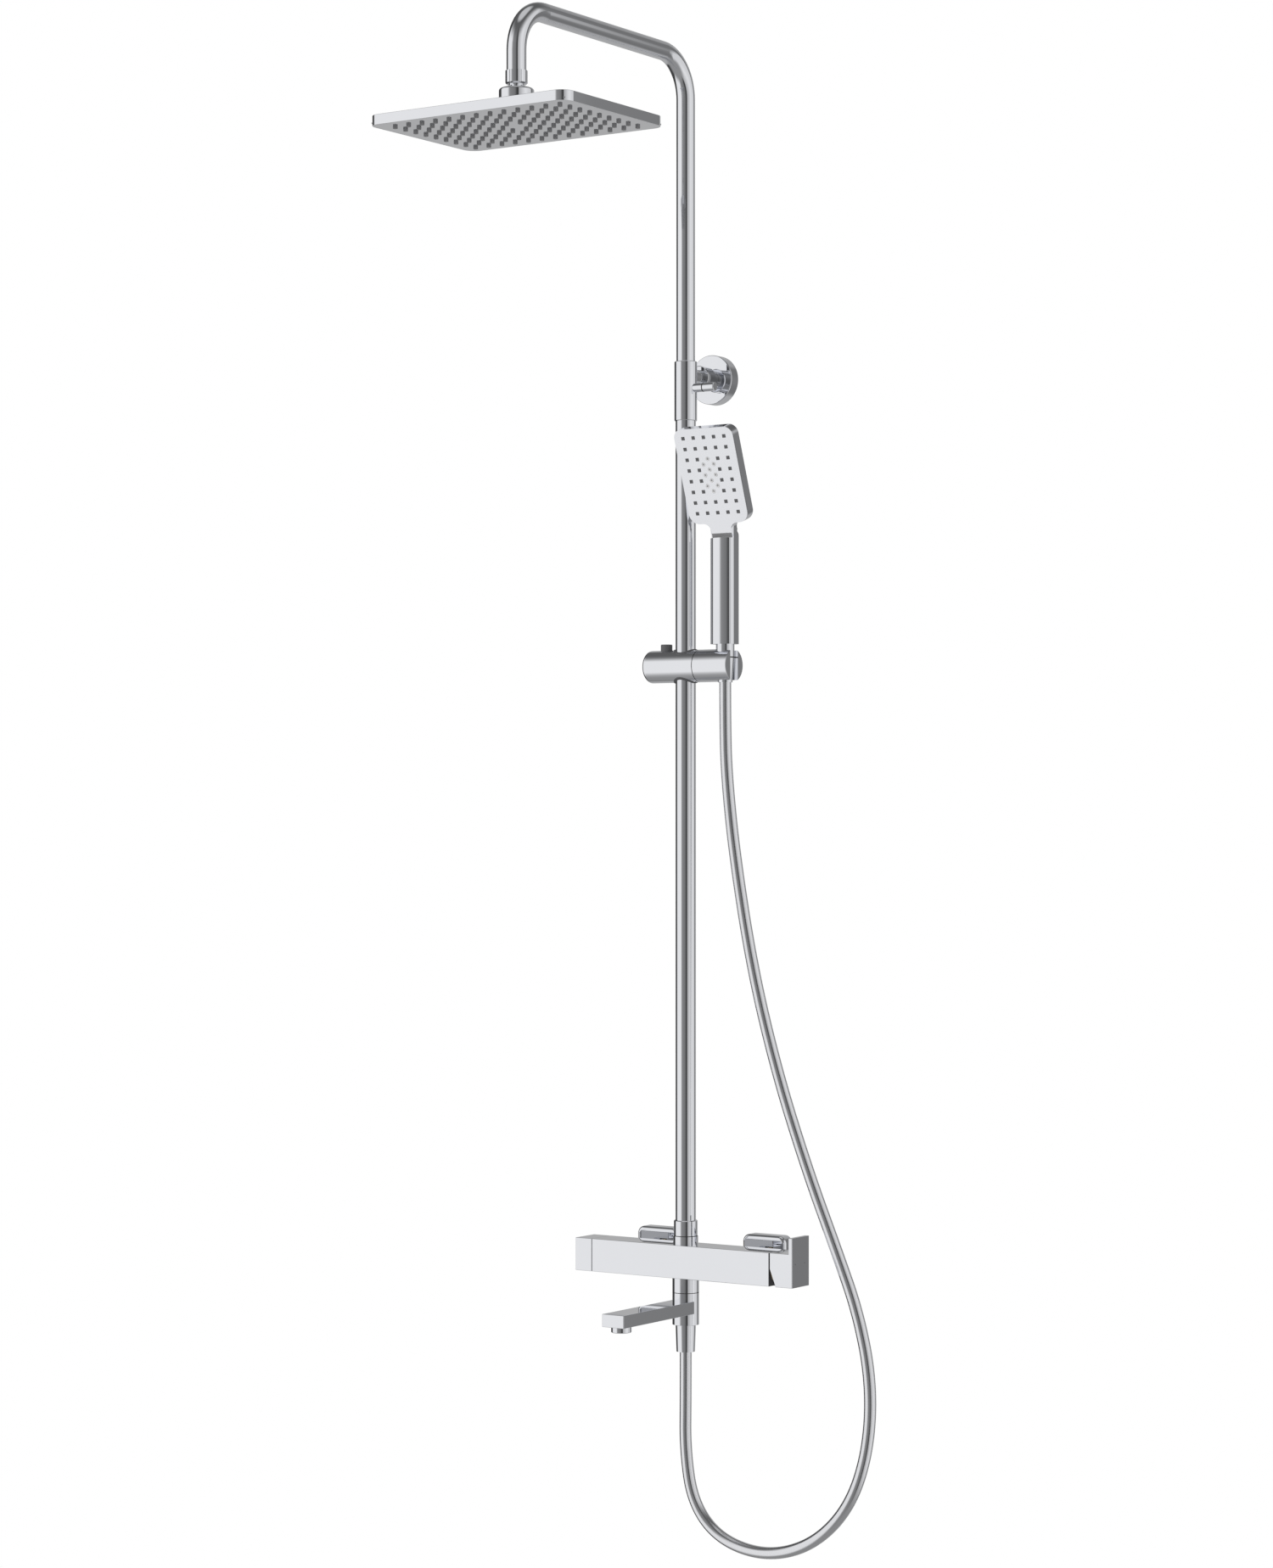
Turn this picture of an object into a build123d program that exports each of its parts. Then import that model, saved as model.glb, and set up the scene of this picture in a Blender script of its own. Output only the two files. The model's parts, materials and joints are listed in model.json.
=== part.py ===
from build123d import *
import os
from math import cos, pi, radians, sin, tan

os.makedirs("parts", exist_ok=True)

# Rainfall shower column. All sizes are millimetres.
# The origin lies midway between the two water inlets on the finished wall.
# +X is right as one faces the wall, -Y comes out into the room and +Z is up.

# Clearances
fit_gap = 0.1  # round pieces of one body that sit in each other
run_gap = 0.08  # radial play of a shaft that turns or slides in its bore
free_gap = 0.3  # play between faces that pass each other
seam_gap = 0.4  # visible seam between two pieces that turn past each other
shadow_gap = 0.8  # groove that shows as a dark line where two round pieces meet

# Wall and column
wall_to_column = 69.0
inlet_pitch = 150.0

# Mixer bar
bar_size = 39.0
bar_left = 121.0
bar_right = 127.5
bar_edge = 0.6
bar_waterway_d = 12.0

# Inlets, measured outwards from the wall
union_wall_d = 20.96
union_wall_reach = 16.0
union_room_d = 26.4
union_length = 36.5
union_bore_d = 13.0
washer_thickness = 2.0
washer_d = 24.0
tail_flange_thickness = 2.5
tail_d = 16.8
tail_bore_d = 11.0
tail_depth = 10.0
nut_flats = 31.0
nut_length = 21.0
nut_lip = 4.0
rosette_size = 59.0
rosette_corner = 9.0
rosette_depth = 17.0
rosette_edge = 4.0
rosette_wall = 1.6

# Mixing cartridge and lever
cartridge_bore_d = 33.0
cartridge_d = 30.0
cartridge_wall = 2.1  # left between the bore and the inlet
cartridge_ring_bore_d = 19.0
cartridge_ring_length = 5.8
cartridge_ring_inset = 1.2
yoke_d = 20.0
yoke_length = 14.5
yoke_slot_width = 7.8
yoke_slot_height = 16.0
pivot_inset = 10.5
lever_pin_d = 3.0
lever_pin_inset = 1.0
yoke_slot_floor = 1.5
stem_d = 7.0
stem_tail = 7.0
stem_reach = 29.0
lever_gap = 1.0
lever_length = 30.5
lever_depth = 37.5
lever_cut_width = 7.9
lever_cut_top = 1.0
lever_plate_thickness = 5.0
lever_plate_rise = 18.5

# Diverter
diverter_bore_d = 29.0
diverter_d = 27.0
diverter_wall = 1.6  # left between the bore and the inlet
diverter_ring_bore_d = 12.0
diverter_ring_length = 7.0
diverter_ring_inset = 2.0
knob_length = 23.6
spindle_d = 8.0
spindle_hold = 10.0
spindle_socket = 17.0

# Riser connection and lower tube
nipple_d = 29.4
nipple_height = 9.5
nipple_thread_d = 25.5
nipple_thread_length = 9.0
nipple_tail_d = 18.0
nipple_bore_d = 14.0
riser_washer_thickness = 1.5
riser_nut_d = 28.0
riser_nut_height = 18.0
riser_nut_chamfer = 0.8
tube_d = 24.0
tube_bore_d = 22.6
tube_top = 1018.0
tube_foot_d = 25.5
tube_foot_thickness = 1.5

# Sleeve and wall bracket
sleeve_d = 26.7
sleeve_bottom = 989.0
sleeve_length = 70.0
sleeve_seal_height = 4.0
sleeve_chamfer = 0.6
lock_z = 1027.2
lock_d = 10.5
lock_boss_reach = 25.0
lock_knob_length = 15.2
lock_knob_edge = 0.8
lock_screw_d = 5.0
bracket_z = 1043.0
stub_d = 18.0
stub_reach = 41.0
collar_d = 28.0
collar_start = 28.0
collar_length = 16.0
collar_chamfer = 0.8
set_screw_d = 5.0
set_screw_sink = 0.5
set_screw_key = 2.5
set_screw_key_depth = 2.0
post_d = 22.0
flange_d = 58.6
flange_depth = 15.0
flange_wall = 1.6
flange_edge = 1.0
base_d = 50.0
base_thickness = 6.0
base_boss_d = 14.0
base_boss_length = 15.0
base_boss_relief = 1.0
base_hole_d = 5.5
base_hole_pitch = 36.0

# Outlet, spout and aerator
outlet_d = 31.5
outlet_height = 17.3
post_d_outlet = 24.0
post_bore_d = 12.0
sleeve_height_spout = 38.2
hose_thread_d = 20.9
hose_thread_length = 12.0
oring_d = 1.8
oring_inset = 5.0
retainer_d = 28.0
retainer_thickness = 1.5
retainer_groove_d = 22.4
retainer_mouth = 8.0
spout_width = 30.0
spout_height = 14.8
spout_top_drop = 27.4
spout_reach = 152.0
spout_edge = 0.6
spout_duct_width = 22.0
spout_duct_height = 8.0
aerator_setback = 17.6
aerator_d = 23.6
aerator_drop = 7.0
aerator_thread_d = 20.0
aerator_thread_length = 5.0
aerator_bore_d = 17.0
aerator_chamfer = 0.6
aerator_disc_inset = 1.0
aerator_disc_thickness = 3.0
aerator_hole_d = 2.4
aerator_hole_pitch = 3.6

# Riser, arm and ball joint
riser_d = 22.0
riser_bore_d = 20.0
riser_foot = 880.0
arm_z = 1417.0
arm_bend_r = 50.0
arm_reach = 339.0
arm_collar_d = 24.6
arm_collar_bottom = 1329.0
arm_collar_height = 15.0
arm_collar_chamfer = 1.5
arm_collar_grooves = 6
arm_collar_groove_width = 0.9
arm_collar_groove_depth = 0.5
arm_tube_depth = 8.0
stem_thread_d = 17.0
stem_shoulder = 1.4
ball_z = 1313.0
ball_r = 9.0
ball_neck_d = 12.0
ball_bore_d = 7.0
seat_wall = 2.2
seat_from = 57.0
seat_to = 80.0
seal_from = 100.0
seal_to = 138.0
head_base_d = 39.0
head_base_top = 1324.6
head_base_edge = 3.0
head_base_mouth_r = 10.0
head_base_throat_r = 9.0
head_base_outlet_d = 18.0

# Rain head
head_bottom = 1283.0
head_width = 267.0
head_depth = 192.0
head_height = 11.2
head_corner = 15.0
head_wall = 1.6
head_edge = 0.5
face_thickness = 2.0
mat_thickness = 1.5
mat_margin = 4.0
nozzle_pitch = 18.5
nozzle_border = 20.0
nozzle_size = 3.8
nozzle_proud = 2.0

# Slider
slider_z = 700.0
slider_r = 19.2
slider_left = 51.0
slider_seam = 20.0
slider_edge = 5.0
bush_wall = 2.0
bush_proud = 0.9
button_x = -27.0
button_d = 13.6
button_rise = 7.0
button_length = 19.5
button_edge = 0.8
spring_d = 8.0
spring_wire = 1.0
spring_length = 8.0
axle_d = 8.0
axle_length = 18.0
axle_hold = 5.0

# Holder and hand shower
holder_end = 67.6
handset_x = 55.3
holder_slot = 16.5
holder_chamfer = 0.5
grip_tube_d = 21.7
grip_tube_bore_d = 13.0
grip_tube_cap = 2.0
grip_edge = 0.8
grip_tube_bottom = 709.0
grip_tube_top = 842.0
grip_spigot_d = 16.8
grip_spigot_length = 12.0
hose_cone_bottom = 680.0
hose_cone_small_d = 17.0
grip_width = 30.8
grip_front = 6.0
grip_corner_front = 8.7
grip_corner_back = 6.4
grip_crown_front = 15.9
grip_crown_back = 13.6
grip_round = 7.5
grip_bottom = 724.6
grip_top = 848.4
grip_slope_z = 846.0
grip_tail = 16.0
face_front = 7.5
bend_z = 854.0
lean = 20.0
spray_width = 81.0
spray_length = 126.5
spray_thickness = 13.0
spray_neck_width = 28.0
spray_shoulder = 12.0
spray_neck_r = 9.0
spray_low_r = 13.0
spray_top_r = 11.0
spray_wall = 2.0
spray_face_thickness = 1.6
spray_mat_thickness = 1.4
spray_columns = 5
spray_rows = 8
spray_pitch_x = 14.1
spray_pitch_y = 12.95
spray_first_row = 25.0
spray_peg = 3.8
spray_peg_proud = 0.6
jet_d = 5.0
jet_bore_d = 2.4
jet_proud = 0.4

# Hose
hose_d = 14.0
hose_bore_d = 9.0
lower_nut_top_d = 24.0
lower_nut_foot_d = 21.9
lower_nut_height = 31.0
lower_nut_gap = 1.0
hose_bend_share = 0.45  # of the shorter run, taken by each bend

# Places worked out from the sizes above
column_y = -wall_to_column
bar_half = bar_size / 2
bar_back = wall_to_column - bar_half
lever_x = bar_right + lever_gap
pivot_x = bar_right - pivot_inset
inlet_side = inlet_pitch / 2 + tail_d / 2
cartridge_bore_depth = bar_right - inlet_side - cartridge_wall
cartridge_length = cartridge_bore_depth - cartridge_ring_length - cartridge_ring_inset
diverter_bore_depth = bar_left - inlet_side - diverter_wall
diverter_length = diverter_bore_depth - diverter_ring_length - diverter_ring_inset
head_y = column_y - arm_reach
nut_end = union_length + washer_thickness + tail_flange_thickness
nipple_top = bar_half + nipple_height + nipple_thread_length
tube_foot = nipple_top + riser_washer_thickness
outlet_bottom = -bar_half - outlet_height
spout_bottom = outlet_bottom - sleeve_height_spout
spout_top = -bar_half - spout_top_drop
lower_nut_top = spout_bottom - lower_nut_gap
lower_nut_bottom = lower_nut_top - lower_nut_height
aerator_reach = spout_reach - aerator_setback
head_top = head_bottom + head_height
nozzle_columns = 2 * int((head_width / 2 - nozzle_border) / nozzle_pitch) + 1
nozzle_rows = 2 * int((head_depth / 2 - nozzle_border) / nozzle_pitch) + 1
bush_r = tube_d / 2 + run_gap + bush_wall
holder_start = slider_seam + seam_gap
lean_sin = sin(radians(lean))
lean_cos = cos(radians(lean))

# The hose's route in the plane of the column, from the lower nut up to the hand shower.
# It is made in four stretches, which meet midway between the last point of one and the first of the next.
hose_route = {
    "hose_loop": [
        (0.0, lower_nut_bottom),
        (0.0, -160.0),
        (-0.8, -222.0),
        (10.0, -285.0),
        (48.0, -324.0),
        (112.0, -336.0),
        (175.0, -316.0),
        (224.0, -268.0),
        (249.0, -200.0),
        (253.0, -122.0),
        (236.0, -45.0),
        (207.0, 25.0),
    ],
    "hose_rise": [(170.0, 110.0), (128.0, 222.0), (93.0, 345.0)],
    "hose_bend": [(68.0, 480.0), (57.0, 575.0)],
    "hose_end": [(handset_x, 636.0), (handset_x, hose_cone_bottom)],
}


def level(z, x=0.0, y=column_y):
    """A plane at height z that faces up."""
    return Plane(origin=(x, y, z), x_dir=(1, 0, 0), z_dir=(0, 0, 1))


def across(x, z=0.0):
    """A plane through the column axis at x that faces right; its own x runs towards the wall."""
    return Plane(origin=(x, column_y, z), x_dir=(0, 1, 0), z_dir=(1, 0, 0))


def from_wall(reach, x=0.0, z=0.0):
    """A plane that far out of the wall, facing the room; its own y runs up."""
    return Plane(origin=(x, -reach, z), x_dir=(1, 0, 0), z_dir=(0, -1, 0))


def profile_at(x=0.0, y=column_y):
    """An upright plane through a vertical axis: its own x is the radius and its own y the height."""
    return Plane(origin=(x, y, 0), x_dir=(1, 0, 0), z_dir=(0, -1, 0))


column_axis = Axis((0, column_y, 0), (0, 0, 1))
head_axis = Axis((0, head_y, 0), (0, 0, 1))
grip_axis = Axis((handset_x, column_y, 0), (0, 0, 1))

# Mixer bar, bored from both ends for the cartridges
with BuildPart() as mixer_body:
    with BuildSketch(across(-bar_left)):
        Rectangle(bar_size, bar_size)
    extrude(amount=bar_left + bar_right)
    fillet(mixer_body.edges(), bar_edge)
    with BuildSketch(across(bar_right)):
        Circle(cartridge_bore_d / 2)
    extrude(amount=-cartridge_bore_depth, mode=Mode.SUBTRACT)
    with BuildSketch(across(-bar_left)):
        Circle(diverter_bore_d / 2)
    extrude(amount=diverter_bore_depth, mode=Mode.SUBTRACT)
    with BuildSketch(across(-bar_left)):
        Circle(bar_waterway_d / 2)
    extrude(amount=bar_left + bar_right, mode=Mode.SUBTRACT)
    with BuildSketch(from_wall(bar_back)):
        with GridLocations(inlet_pitch, 0, 2, 1):
            Circle(tail_d / 2 + fit_gap)
    extrude(amount=bar_half, mode=Mode.SUBTRACT)
    with BuildSketch(level(-bar_half)):
        Circle(nipple_tail_d / 2 + fit_gap)
    extrude(amount=bar_size, mode=Mode.SUBTRACT)
mixer_body.part.label = "mixer_body"
export_step(mixer_body.part, "parts/mixer_body.step")

# Connectors from the wall's threaded sockets to the mixer
with BuildPart() as wall_unions:
    with BuildSketch(from_wall(-union_wall_reach)):
        with GridLocations(inlet_pitch, 0, 2, 1):
            Circle(union_wall_d / 2)
    extrude(amount=union_wall_reach)
    with BuildSketch(from_wall(0)):
        with GridLocations(inlet_pitch, 0, 2, 1):
            Circle(union_room_d / 2)
    extrude(amount=union_length)
    with BuildSketch(from_wall(-union_wall_reach)):
        with GridLocations(inlet_pitch, 0, 2, 1):
            Circle(union_bore_d / 2)
    extrude(amount=union_wall_reach + union_length, mode=Mode.SUBTRACT)
wall_unions.part.label = "wall_unions"
export_step(wall_unions.part, "parts/wall_unions.step")

with BuildPart() as filter_washers:
    with BuildSketch(from_wall(union_length)):
        with GridLocations(inlet_pitch, 0, 2, 1):
            Circle(washer_d / 2)
            Circle(union_bore_d / 2, mode=Mode.SUBTRACT)
    extrude(amount=washer_thickness)
filter_washers.part.label = "filter_washers"
export_step(filter_washers.part, "parts/filter_washers.step")

# Flanged tails that the mixer carries, held by the union nuts
with BuildPart() as inlet_tails:
    with BuildSketch(from_wall(union_length + washer_thickness)):
        with GridLocations(inlet_pitch, 0, 2, 1):
            Circle(washer_d / 2)
    extrude(amount=tail_flange_thickness)
    with BuildSketch(from_wall(nut_end)):
        with GridLocations(inlet_pitch, 0, 2, 1):
            Circle(tail_d / 2)
    extrude(amount=bar_back - nut_end + tail_depth)
    with BuildSketch(from_wall(union_length + washer_thickness)):
        with GridLocations(inlet_pitch, 0, 2, 1):
            Circle(tail_bore_d / 2)
    extrude(amount=bar_back - union_length + tail_depth, mode=Mode.SUBTRACT)
inlet_tails.part.label = "inlet_tails"
export_step(inlet_tails.part, "parts/inlet_tails.step")

with BuildPart() as union_nuts:
    with BuildSketch(from_wall(nut_end + nut_lip - nut_length)):
        with GridLocations(inlet_pitch, 0, 2, 1):
            RegularPolygon(nut_flats / 2, 6, major_radius=False)
            Circle(union_room_d / 2 + fit_gap, mode=Mode.SUBTRACT)
    extrude(amount=nut_length - nut_lip)
    with BuildSketch(from_wall(nut_end)):
        with GridLocations(inlet_pitch, 0, 2, 1):
            RegularPolygon(nut_flats / 2, 6, major_radius=False)
            Circle(tail_d / 2 + free_gap, mode=Mode.SUBTRACT)
    extrude(amount=nut_lip)
union_nuts.part.label = "union_nuts"
export_step(union_nuts.part, "parts/union_nuts.step")

# Rounded square cover plates, open towards the wall
with BuildPart() as wall_rosettes:
    with BuildSketch(from_wall(0)):
        with GridLocations(inlet_pitch, 0, 2, 1):
            RectangleRounded(rosette_size, rosette_size, rosette_corner)
    extrude(amount=rosette_depth)
    fillet(wall_rosettes.faces().sort_by(Axis.Y)[:2].edges(), rosette_edge)
    offset(amount=-rosette_wall, openings=wall_rosettes.faces().sort_by(Axis.Y)[-2:])
    with BuildSketch(from_wall(0)):
        with GridLocations(inlet_pitch, 0, 2, 1):
            Circle(union_room_d / 2 + free_gap)
    extrude(amount=rosette_depth, mode=Mode.SUBTRACT)
wall_rosettes.part.label = "wall_rosettes"
export_step(wall_rosettes.part, "parts/wall_rosettes.step")

# Mixing cartridge with the recess in which the lever's yoke turns
with BuildPart() as mixing_cartridge:
    with BuildSketch(across(bar_right - cartridge_bore_depth)):
        Circle(cartridge_d / 2)
    extrude(amount=cartridge_length)
    with BuildSketch(across(bar_right - cartridge_bore_depth + cartridge_length)):
        Circle(yoke_d / 2 + free_gap)
    extrude(amount=-yoke_length - free_gap, mode=Mode.SUBTRACT)
mixing_cartridge.part.label = "mixing_cartridge"
export_step(mixing_cartridge.part, "parts/mixing_cartridge.step")

with BuildPart() as cartridge_ring:
    with BuildSketch(across(bar_right - cartridge_bore_depth + cartridge_length)):
        Circle(cartridge_bore_d / 2 - fit_gap)
        Circle(cartridge_ring_bore_d / 2, mode=Mode.SUBTRACT)
    extrude(amount=cartridge_ring_length)
cartridge_ring.part.label = "cartridge_ring"
export_step(cartridge_ring.part, "parts/cartridge_ring.step")

# Yoke that turns in the cartridge and carries the lever's cross pin
yoke_end = bar_right - cartridge_bore_depth + cartridge_length - free_gap
with BuildPart() as lever_yoke:
    with BuildSketch(across(yoke_end)):
        Circle(yoke_d / 2)
    extrude(amount=-yoke_length + free_gap)
    with BuildSketch(across(yoke_end)):
        Rectangle(yoke_slot_width, yoke_slot_height)
    extrude(amount=pivot_x - stem_tail - yoke_slot_floor - yoke_end, mode=Mode.SUBTRACT)
    with BuildSketch(from_wall(wall_to_column + yoke_d, pivot_x)):
        Circle(lever_pin_d / 2 + run_gap)
    extrude(amount=-2 * yoke_d, mode=Mode.SUBTRACT)
lever_yoke.part.label = "lever_yoke"
export_step(lever_yoke.part, "parts/lever_yoke.step")

with BuildPart() as lever_pin:
    with BuildSketch(from_wall(wall_to_column - yoke_d / 2 + lever_pin_inset, pivot_x)):
        Circle(lever_pin_d / 2)
    extrude(amount=yoke_d - 2 * lever_pin_inset)
lever_pin.part.label = "lever_pin"
export_step(lever_pin.part, "parts/lever_pin.step")

with BuildPart() as lever_stem:
    with BuildSketch(across(pivot_x - stem_tail)):
        Circle(stem_d / 2)
    extrude(amount=stem_tail + stem_reach)
    with BuildSketch(from_wall(wall_to_column + stem_d, pivot_x)):
        Circle(lever_pin_d / 2 + run_gap)
    extrude(amount=-2 * stem_d, mode=Mode.SUBTRACT)
lever_stem.part.label = "lever_stem"
export_step(lever_stem.part, "parts/lever_stem.step")

# Lever block, cut away at its foot so that it can be pulled out at the top
lever_front = wall_to_column + bar_half
with BuildPart() as lever_block:
    with BuildSketch(from_wall(lever_front - lever_depth)):
        with BuildLine():
            Polyline(
                (lever_x, bar_half),
                (lever_x, lever_cut_top),
                (lever_x + lever_cut_width, -bar_half),
                (lever_x + lever_length, -bar_half),
                (lever_x + lever_length, bar_half + lever_plate_rise),
                (lever_x + lever_length - lever_plate_thickness, bar_half + lever_plate_rise),
                (lever_x + lever_length - lever_plate_thickness, bar_half),
                close=True,
            )
        make_face()
    extrude(amount=lever_depth)
    fillet(lever_block.edges().filter_by(Axis.Y, reverse=True), bar_edge)
    with BuildSketch(across(lever_x)):
        Circle(stem_d / 2 + fit_gap)
    extrude(amount=pivot_x + stem_reach - lever_x, mode=Mode.SUBTRACT)
lever_block.part.label = "lever_block"
export_step(lever_block.part, "parts/lever_block.step")

# Diverter
with BuildPart() as diverter_cartridge:
    with BuildSketch(across(diverter_bore_depth - bar_left)):
        Circle(diverter_d / 2)
        Circle(spindle_d / 2 + run_gap, mode=Mode.SUBTRACT)
    extrude(amount=-diverter_length)
diverter_cartridge.part.label = "diverter_cartridge"
export_step(diverter_cartridge.part, "parts/diverter_cartridge.step")

with BuildPart() as diverter_ring:
    with BuildSketch(across(diverter_bore_depth - diverter_length - bar_left)):
        Circle(diverter_bore_d / 2 - fit_gap)
        Circle(diverter_ring_bore_d / 2, mode=Mode.SUBTRACT)
    extrude(amount=-diverter_ring_length)
diverter_ring.part.label = "diverter_ring"
export_step(diverter_ring.part, "parts/diverter_ring.step")

knob_x = -bar_left - seam_gap
spindle_start = diverter_ring_inset + diverter_ring_length + spindle_hold - bar_left
with BuildPart() as diverter_spindle:
    with BuildSketch(across(spindle_start)):
        Circle(spindle_d / 2)
    extrude(amount=knob_x - spindle_socket - spindle_start)
diverter_spindle.part.label = "diverter_spindle"
export_step(diverter_spindle.part, "parts/diverter_spindle.step")

with BuildPart() as diverter_knob:
    with BuildSketch(across(knob_x)):
        Rectangle(bar_size, bar_size)
    extrude(amount=-knob_length)
    fillet(diverter_knob.edges(), bar_edge)
    with BuildSketch(across(knob_x)):
        Circle(spindle_d / 2 + fit_gap)
    extrude(amount=-spindle_socket, mode=Mode.SUBTRACT)
diverter_knob.part.label = "diverter_knob"
export_step(diverter_knob.part, "parts/diverter_knob.step")

# Riser connection on top of the bar
with BuildPart() as riser_nipple:
    with BuildSketch(level(bar_waterway_d / 2)):
        Circle(nipple_tail_d / 2)
    extrude(amount=bar_half - bar_waterway_d / 2)
    with BuildSketch(level(bar_half)):
        Circle(nipple_d / 2)
    extrude(amount=nipple_height)
    with BuildSketch(level(bar_half + nipple_height)):
        Circle(nipple_thread_d / 2)
    extrude(amount=nipple_thread_length)
    with BuildSketch(level(bar_waterway_d / 2)):
        Circle(nipple_bore_d / 2)
    extrude(amount=nipple_top, mode=Mode.SUBTRACT)
riser_nipple.part.label = "riser_nipple"
export_step(riser_nipple.part, "parts/riser_nipple.step")

with BuildPart() as riser_washer:
    with BuildSketch(level(nipple_top)):
        Circle(nipple_thread_d / 2)
        Circle(nipple_bore_d / 2, mode=Mode.SUBTRACT)
    extrude(amount=riser_washer_thickness)
riser_washer.part.label = "riser_washer"
export_step(riser_washer.part, "parts/riser_washer.step")

nut_lip_z = tube_foot + tube_foot_thickness
riser_nut_bottom = bar_half + nipple_height + shadow_gap
with BuildPart() as riser_nut:
    with BuildSketch(level(riser_nut_bottom)):
        Circle(riser_nut_d / 2)
        Circle(tube_foot_d / 2 + fit_gap, mode=Mode.SUBTRACT)
    extrude(amount=nut_lip_z - riser_nut_bottom)
    with BuildSketch(level(nut_lip_z)):
        Circle(riser_nut_d / 2)
        Circle(tube_d / 2 + fit_gap, mode=Mode.SUBTRACT)
    extrude(amount=riser_nut_bottom + riser_nut_height - nut_lip_z)
    chamfer(riser_nut.faces().sort_by(Axis.Z)[-1].outer_wire().edges(), riser_nut_chamfer)
riser_nut.part.label = "riser_nut"
export_step(riser_nut.part, "parts/riser_nut.step")

# Lower tube with the foot that the nut draws down
with BuildPart() as lower_tube:
    with BuildSketch(level(tube_foot)):
        Circle(tube_foot_d / 2)
    extrude(amount=tube_foot_thickness)
    with BuildSketch(level(tube_foot)):
        Circle(tube_d / 2)
    extrude(amount=tube_top - tube_foot)
    with BuildSketch(level(tube_foot)):
        Circle(tube_bore_d / 2)
    extrude(amount=tube_top - tube_foot, mode=Mode.SUBTRACT)
lower_tube.part.label = "lower_tube"
export_step(lower_tube.part, "parts/lower_tube.step")

# Sleeve that joins the two tubes, with the stub that the wall bracket grips and the locking knob's boss
with BuildPart() as tube_sleeve:
    with BuildSketch(level(sleeve_bottom)):
        Circle(sleeve_d / 2)
    extrude(amount=sleeve_length)
    chamfer(tube_sleeve.edges().filter_by(GeomType.CIRCLE), sleeve_chamfer)
    with BuildSketch(from_wall(wall_to_column, 0, bracket_z)):
        Circle(stub_d / 2)
    extrude(amount=-stub_reach)
    with BuildSketch(across(0, lock_z)):
        Circle(lock_d / 2)
    extrude(amount=lock_boss_reach)
    with BuildSketch(across(0, lock_z)):
        Circle(lock_screw_d / 2 + run_gap)
    extrude(amount=lock_boss_reach, mode=Mode.SUBTRACT)
    with BuildSketch(level(sleeve_bottom)):
        Circle(tube_d / 2 + fit_gap)
    extrude(amount=tube_top + sleeve_seal_height - sleeve_bottom, mode=Mode.SUBTRACT)
    with BuildSketch(level(sleeve_bottom)):
        Circle(riser_d / 2 + run_gap)
    extrude(amount=sleeve_length, mode=Mode.SUBTRACT)
tube_sleeve.part.label = "tube_sleeve"
export_step(tube_sleeve.part, "parts/tube_sleeve.step")

with BuildPart() as sleeve_seal:
    with BuildSketch(level(tube_top)):
        Circle(tube_d / 2)
        Circle(riser_d / 2 + run_gap, mode=Mode.SUBTRACT)
    extrude(amount=sleeve_seal_height)
sleeve_seal.part.label = "sleeve_seal"
export_step(sleeve_seal.part, "parts/sleeve_seal.step")

# Knob at the sleeve's side, whose screw presses on the riser to hold its height
lock_knob_x = lock_boss_reach + shadow_gap
lock_screw_tip = riser_d / 2 + fit_gap
with BuildPart() as lock_knob:
    with BuildSketch(across(lock_knob_x, lock_z)):
        Circle(lock_d / 2)
    extrude(amount=lock_knob_length)
    fillet(lock_knob.faces().sort_by(Axis.X)[-1].edges(), lock_knob_edge)
    with BuildSketch(across(lock_screw_tip, lock_z)):
        Circle(lock_screw_d / 2)
    extrude(amount=lock_knob_x - lock_screw_tip)
lock_knob.part.label = "lock_knob"
export_step(lock_knob.part, "parts/lock_knob.step")

# Wall post with a collar that slips over the stub and is held by a set screw from below
collar_wall_side = wall_to_column - collar_start - collar_length
set_screw_y = -collar_wall_side - collar_length / 2
set_screw_z = bracket_z - collar_d / 2
with BuildPart() as wall_post:
    with BuildSketch(from_wall(collar_wall_side, 0, bracket_z)):
        Circle(collar_d / 2)
    extrude(amount=collar_length)
    chamfer(wall_post.edges().filter_by(GeomType.CIRCLE), collar_chamfer)
    with BuildSketch(from_wall(base_thickness, 0, bracket_z)):
        Circle(post_d / 2)
    extrude(amount=collar_wall_side - base_thickness)
    with BuildSketch(from_wall(collar_wall_side, 0, bracket_z)):
        Circle(stub_d / 2 + fit_gap)
    extrude(amount=collar_length, mode=Mode.SUBTRACT)
    with BuildSketch(level(set_screw_z, 0, set_screw_y)):
        Circle(set_screw_d / 2 + fit_gap)
    extrude(amount=collar_d / 2, mode=Mode.SUBTRACT)
    with BuildSketch(from_wall(base_thickness, 0, bracket_z)):
        Circle(base_boss_d / 2 + fit_gap)
    extrude(amount=base_boss_length + base_boss_relief, mode=Mode.SUBTRACT)
wall_post.part.label = "wall_post"
export_step(wall_post.part, "parts/wall_post.step")

with BuildPart() as set_screw:
    with BuildSketch(level(set_screw_z + set_screw_sink, 0, set_screw_y)):
        Circle(set_screw_d / 2)
    extrude(amount=collar_d / 2 - set_screw_sink - stub_d / 2 - fit_gap)
    with BuildSketch(level(set_screw_z + set_screw_sink, 0, set_screw_y)):
        RegularPolygon(set_screw_key / 2, 6, major_radius=False)
    extrude(amount=set_screw_key_depth, mode=Mode.SUBTRACT)
set_screw.part.label = "set_screw"
export_step(set_screw.part, "parts/set_screw.step")

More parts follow.
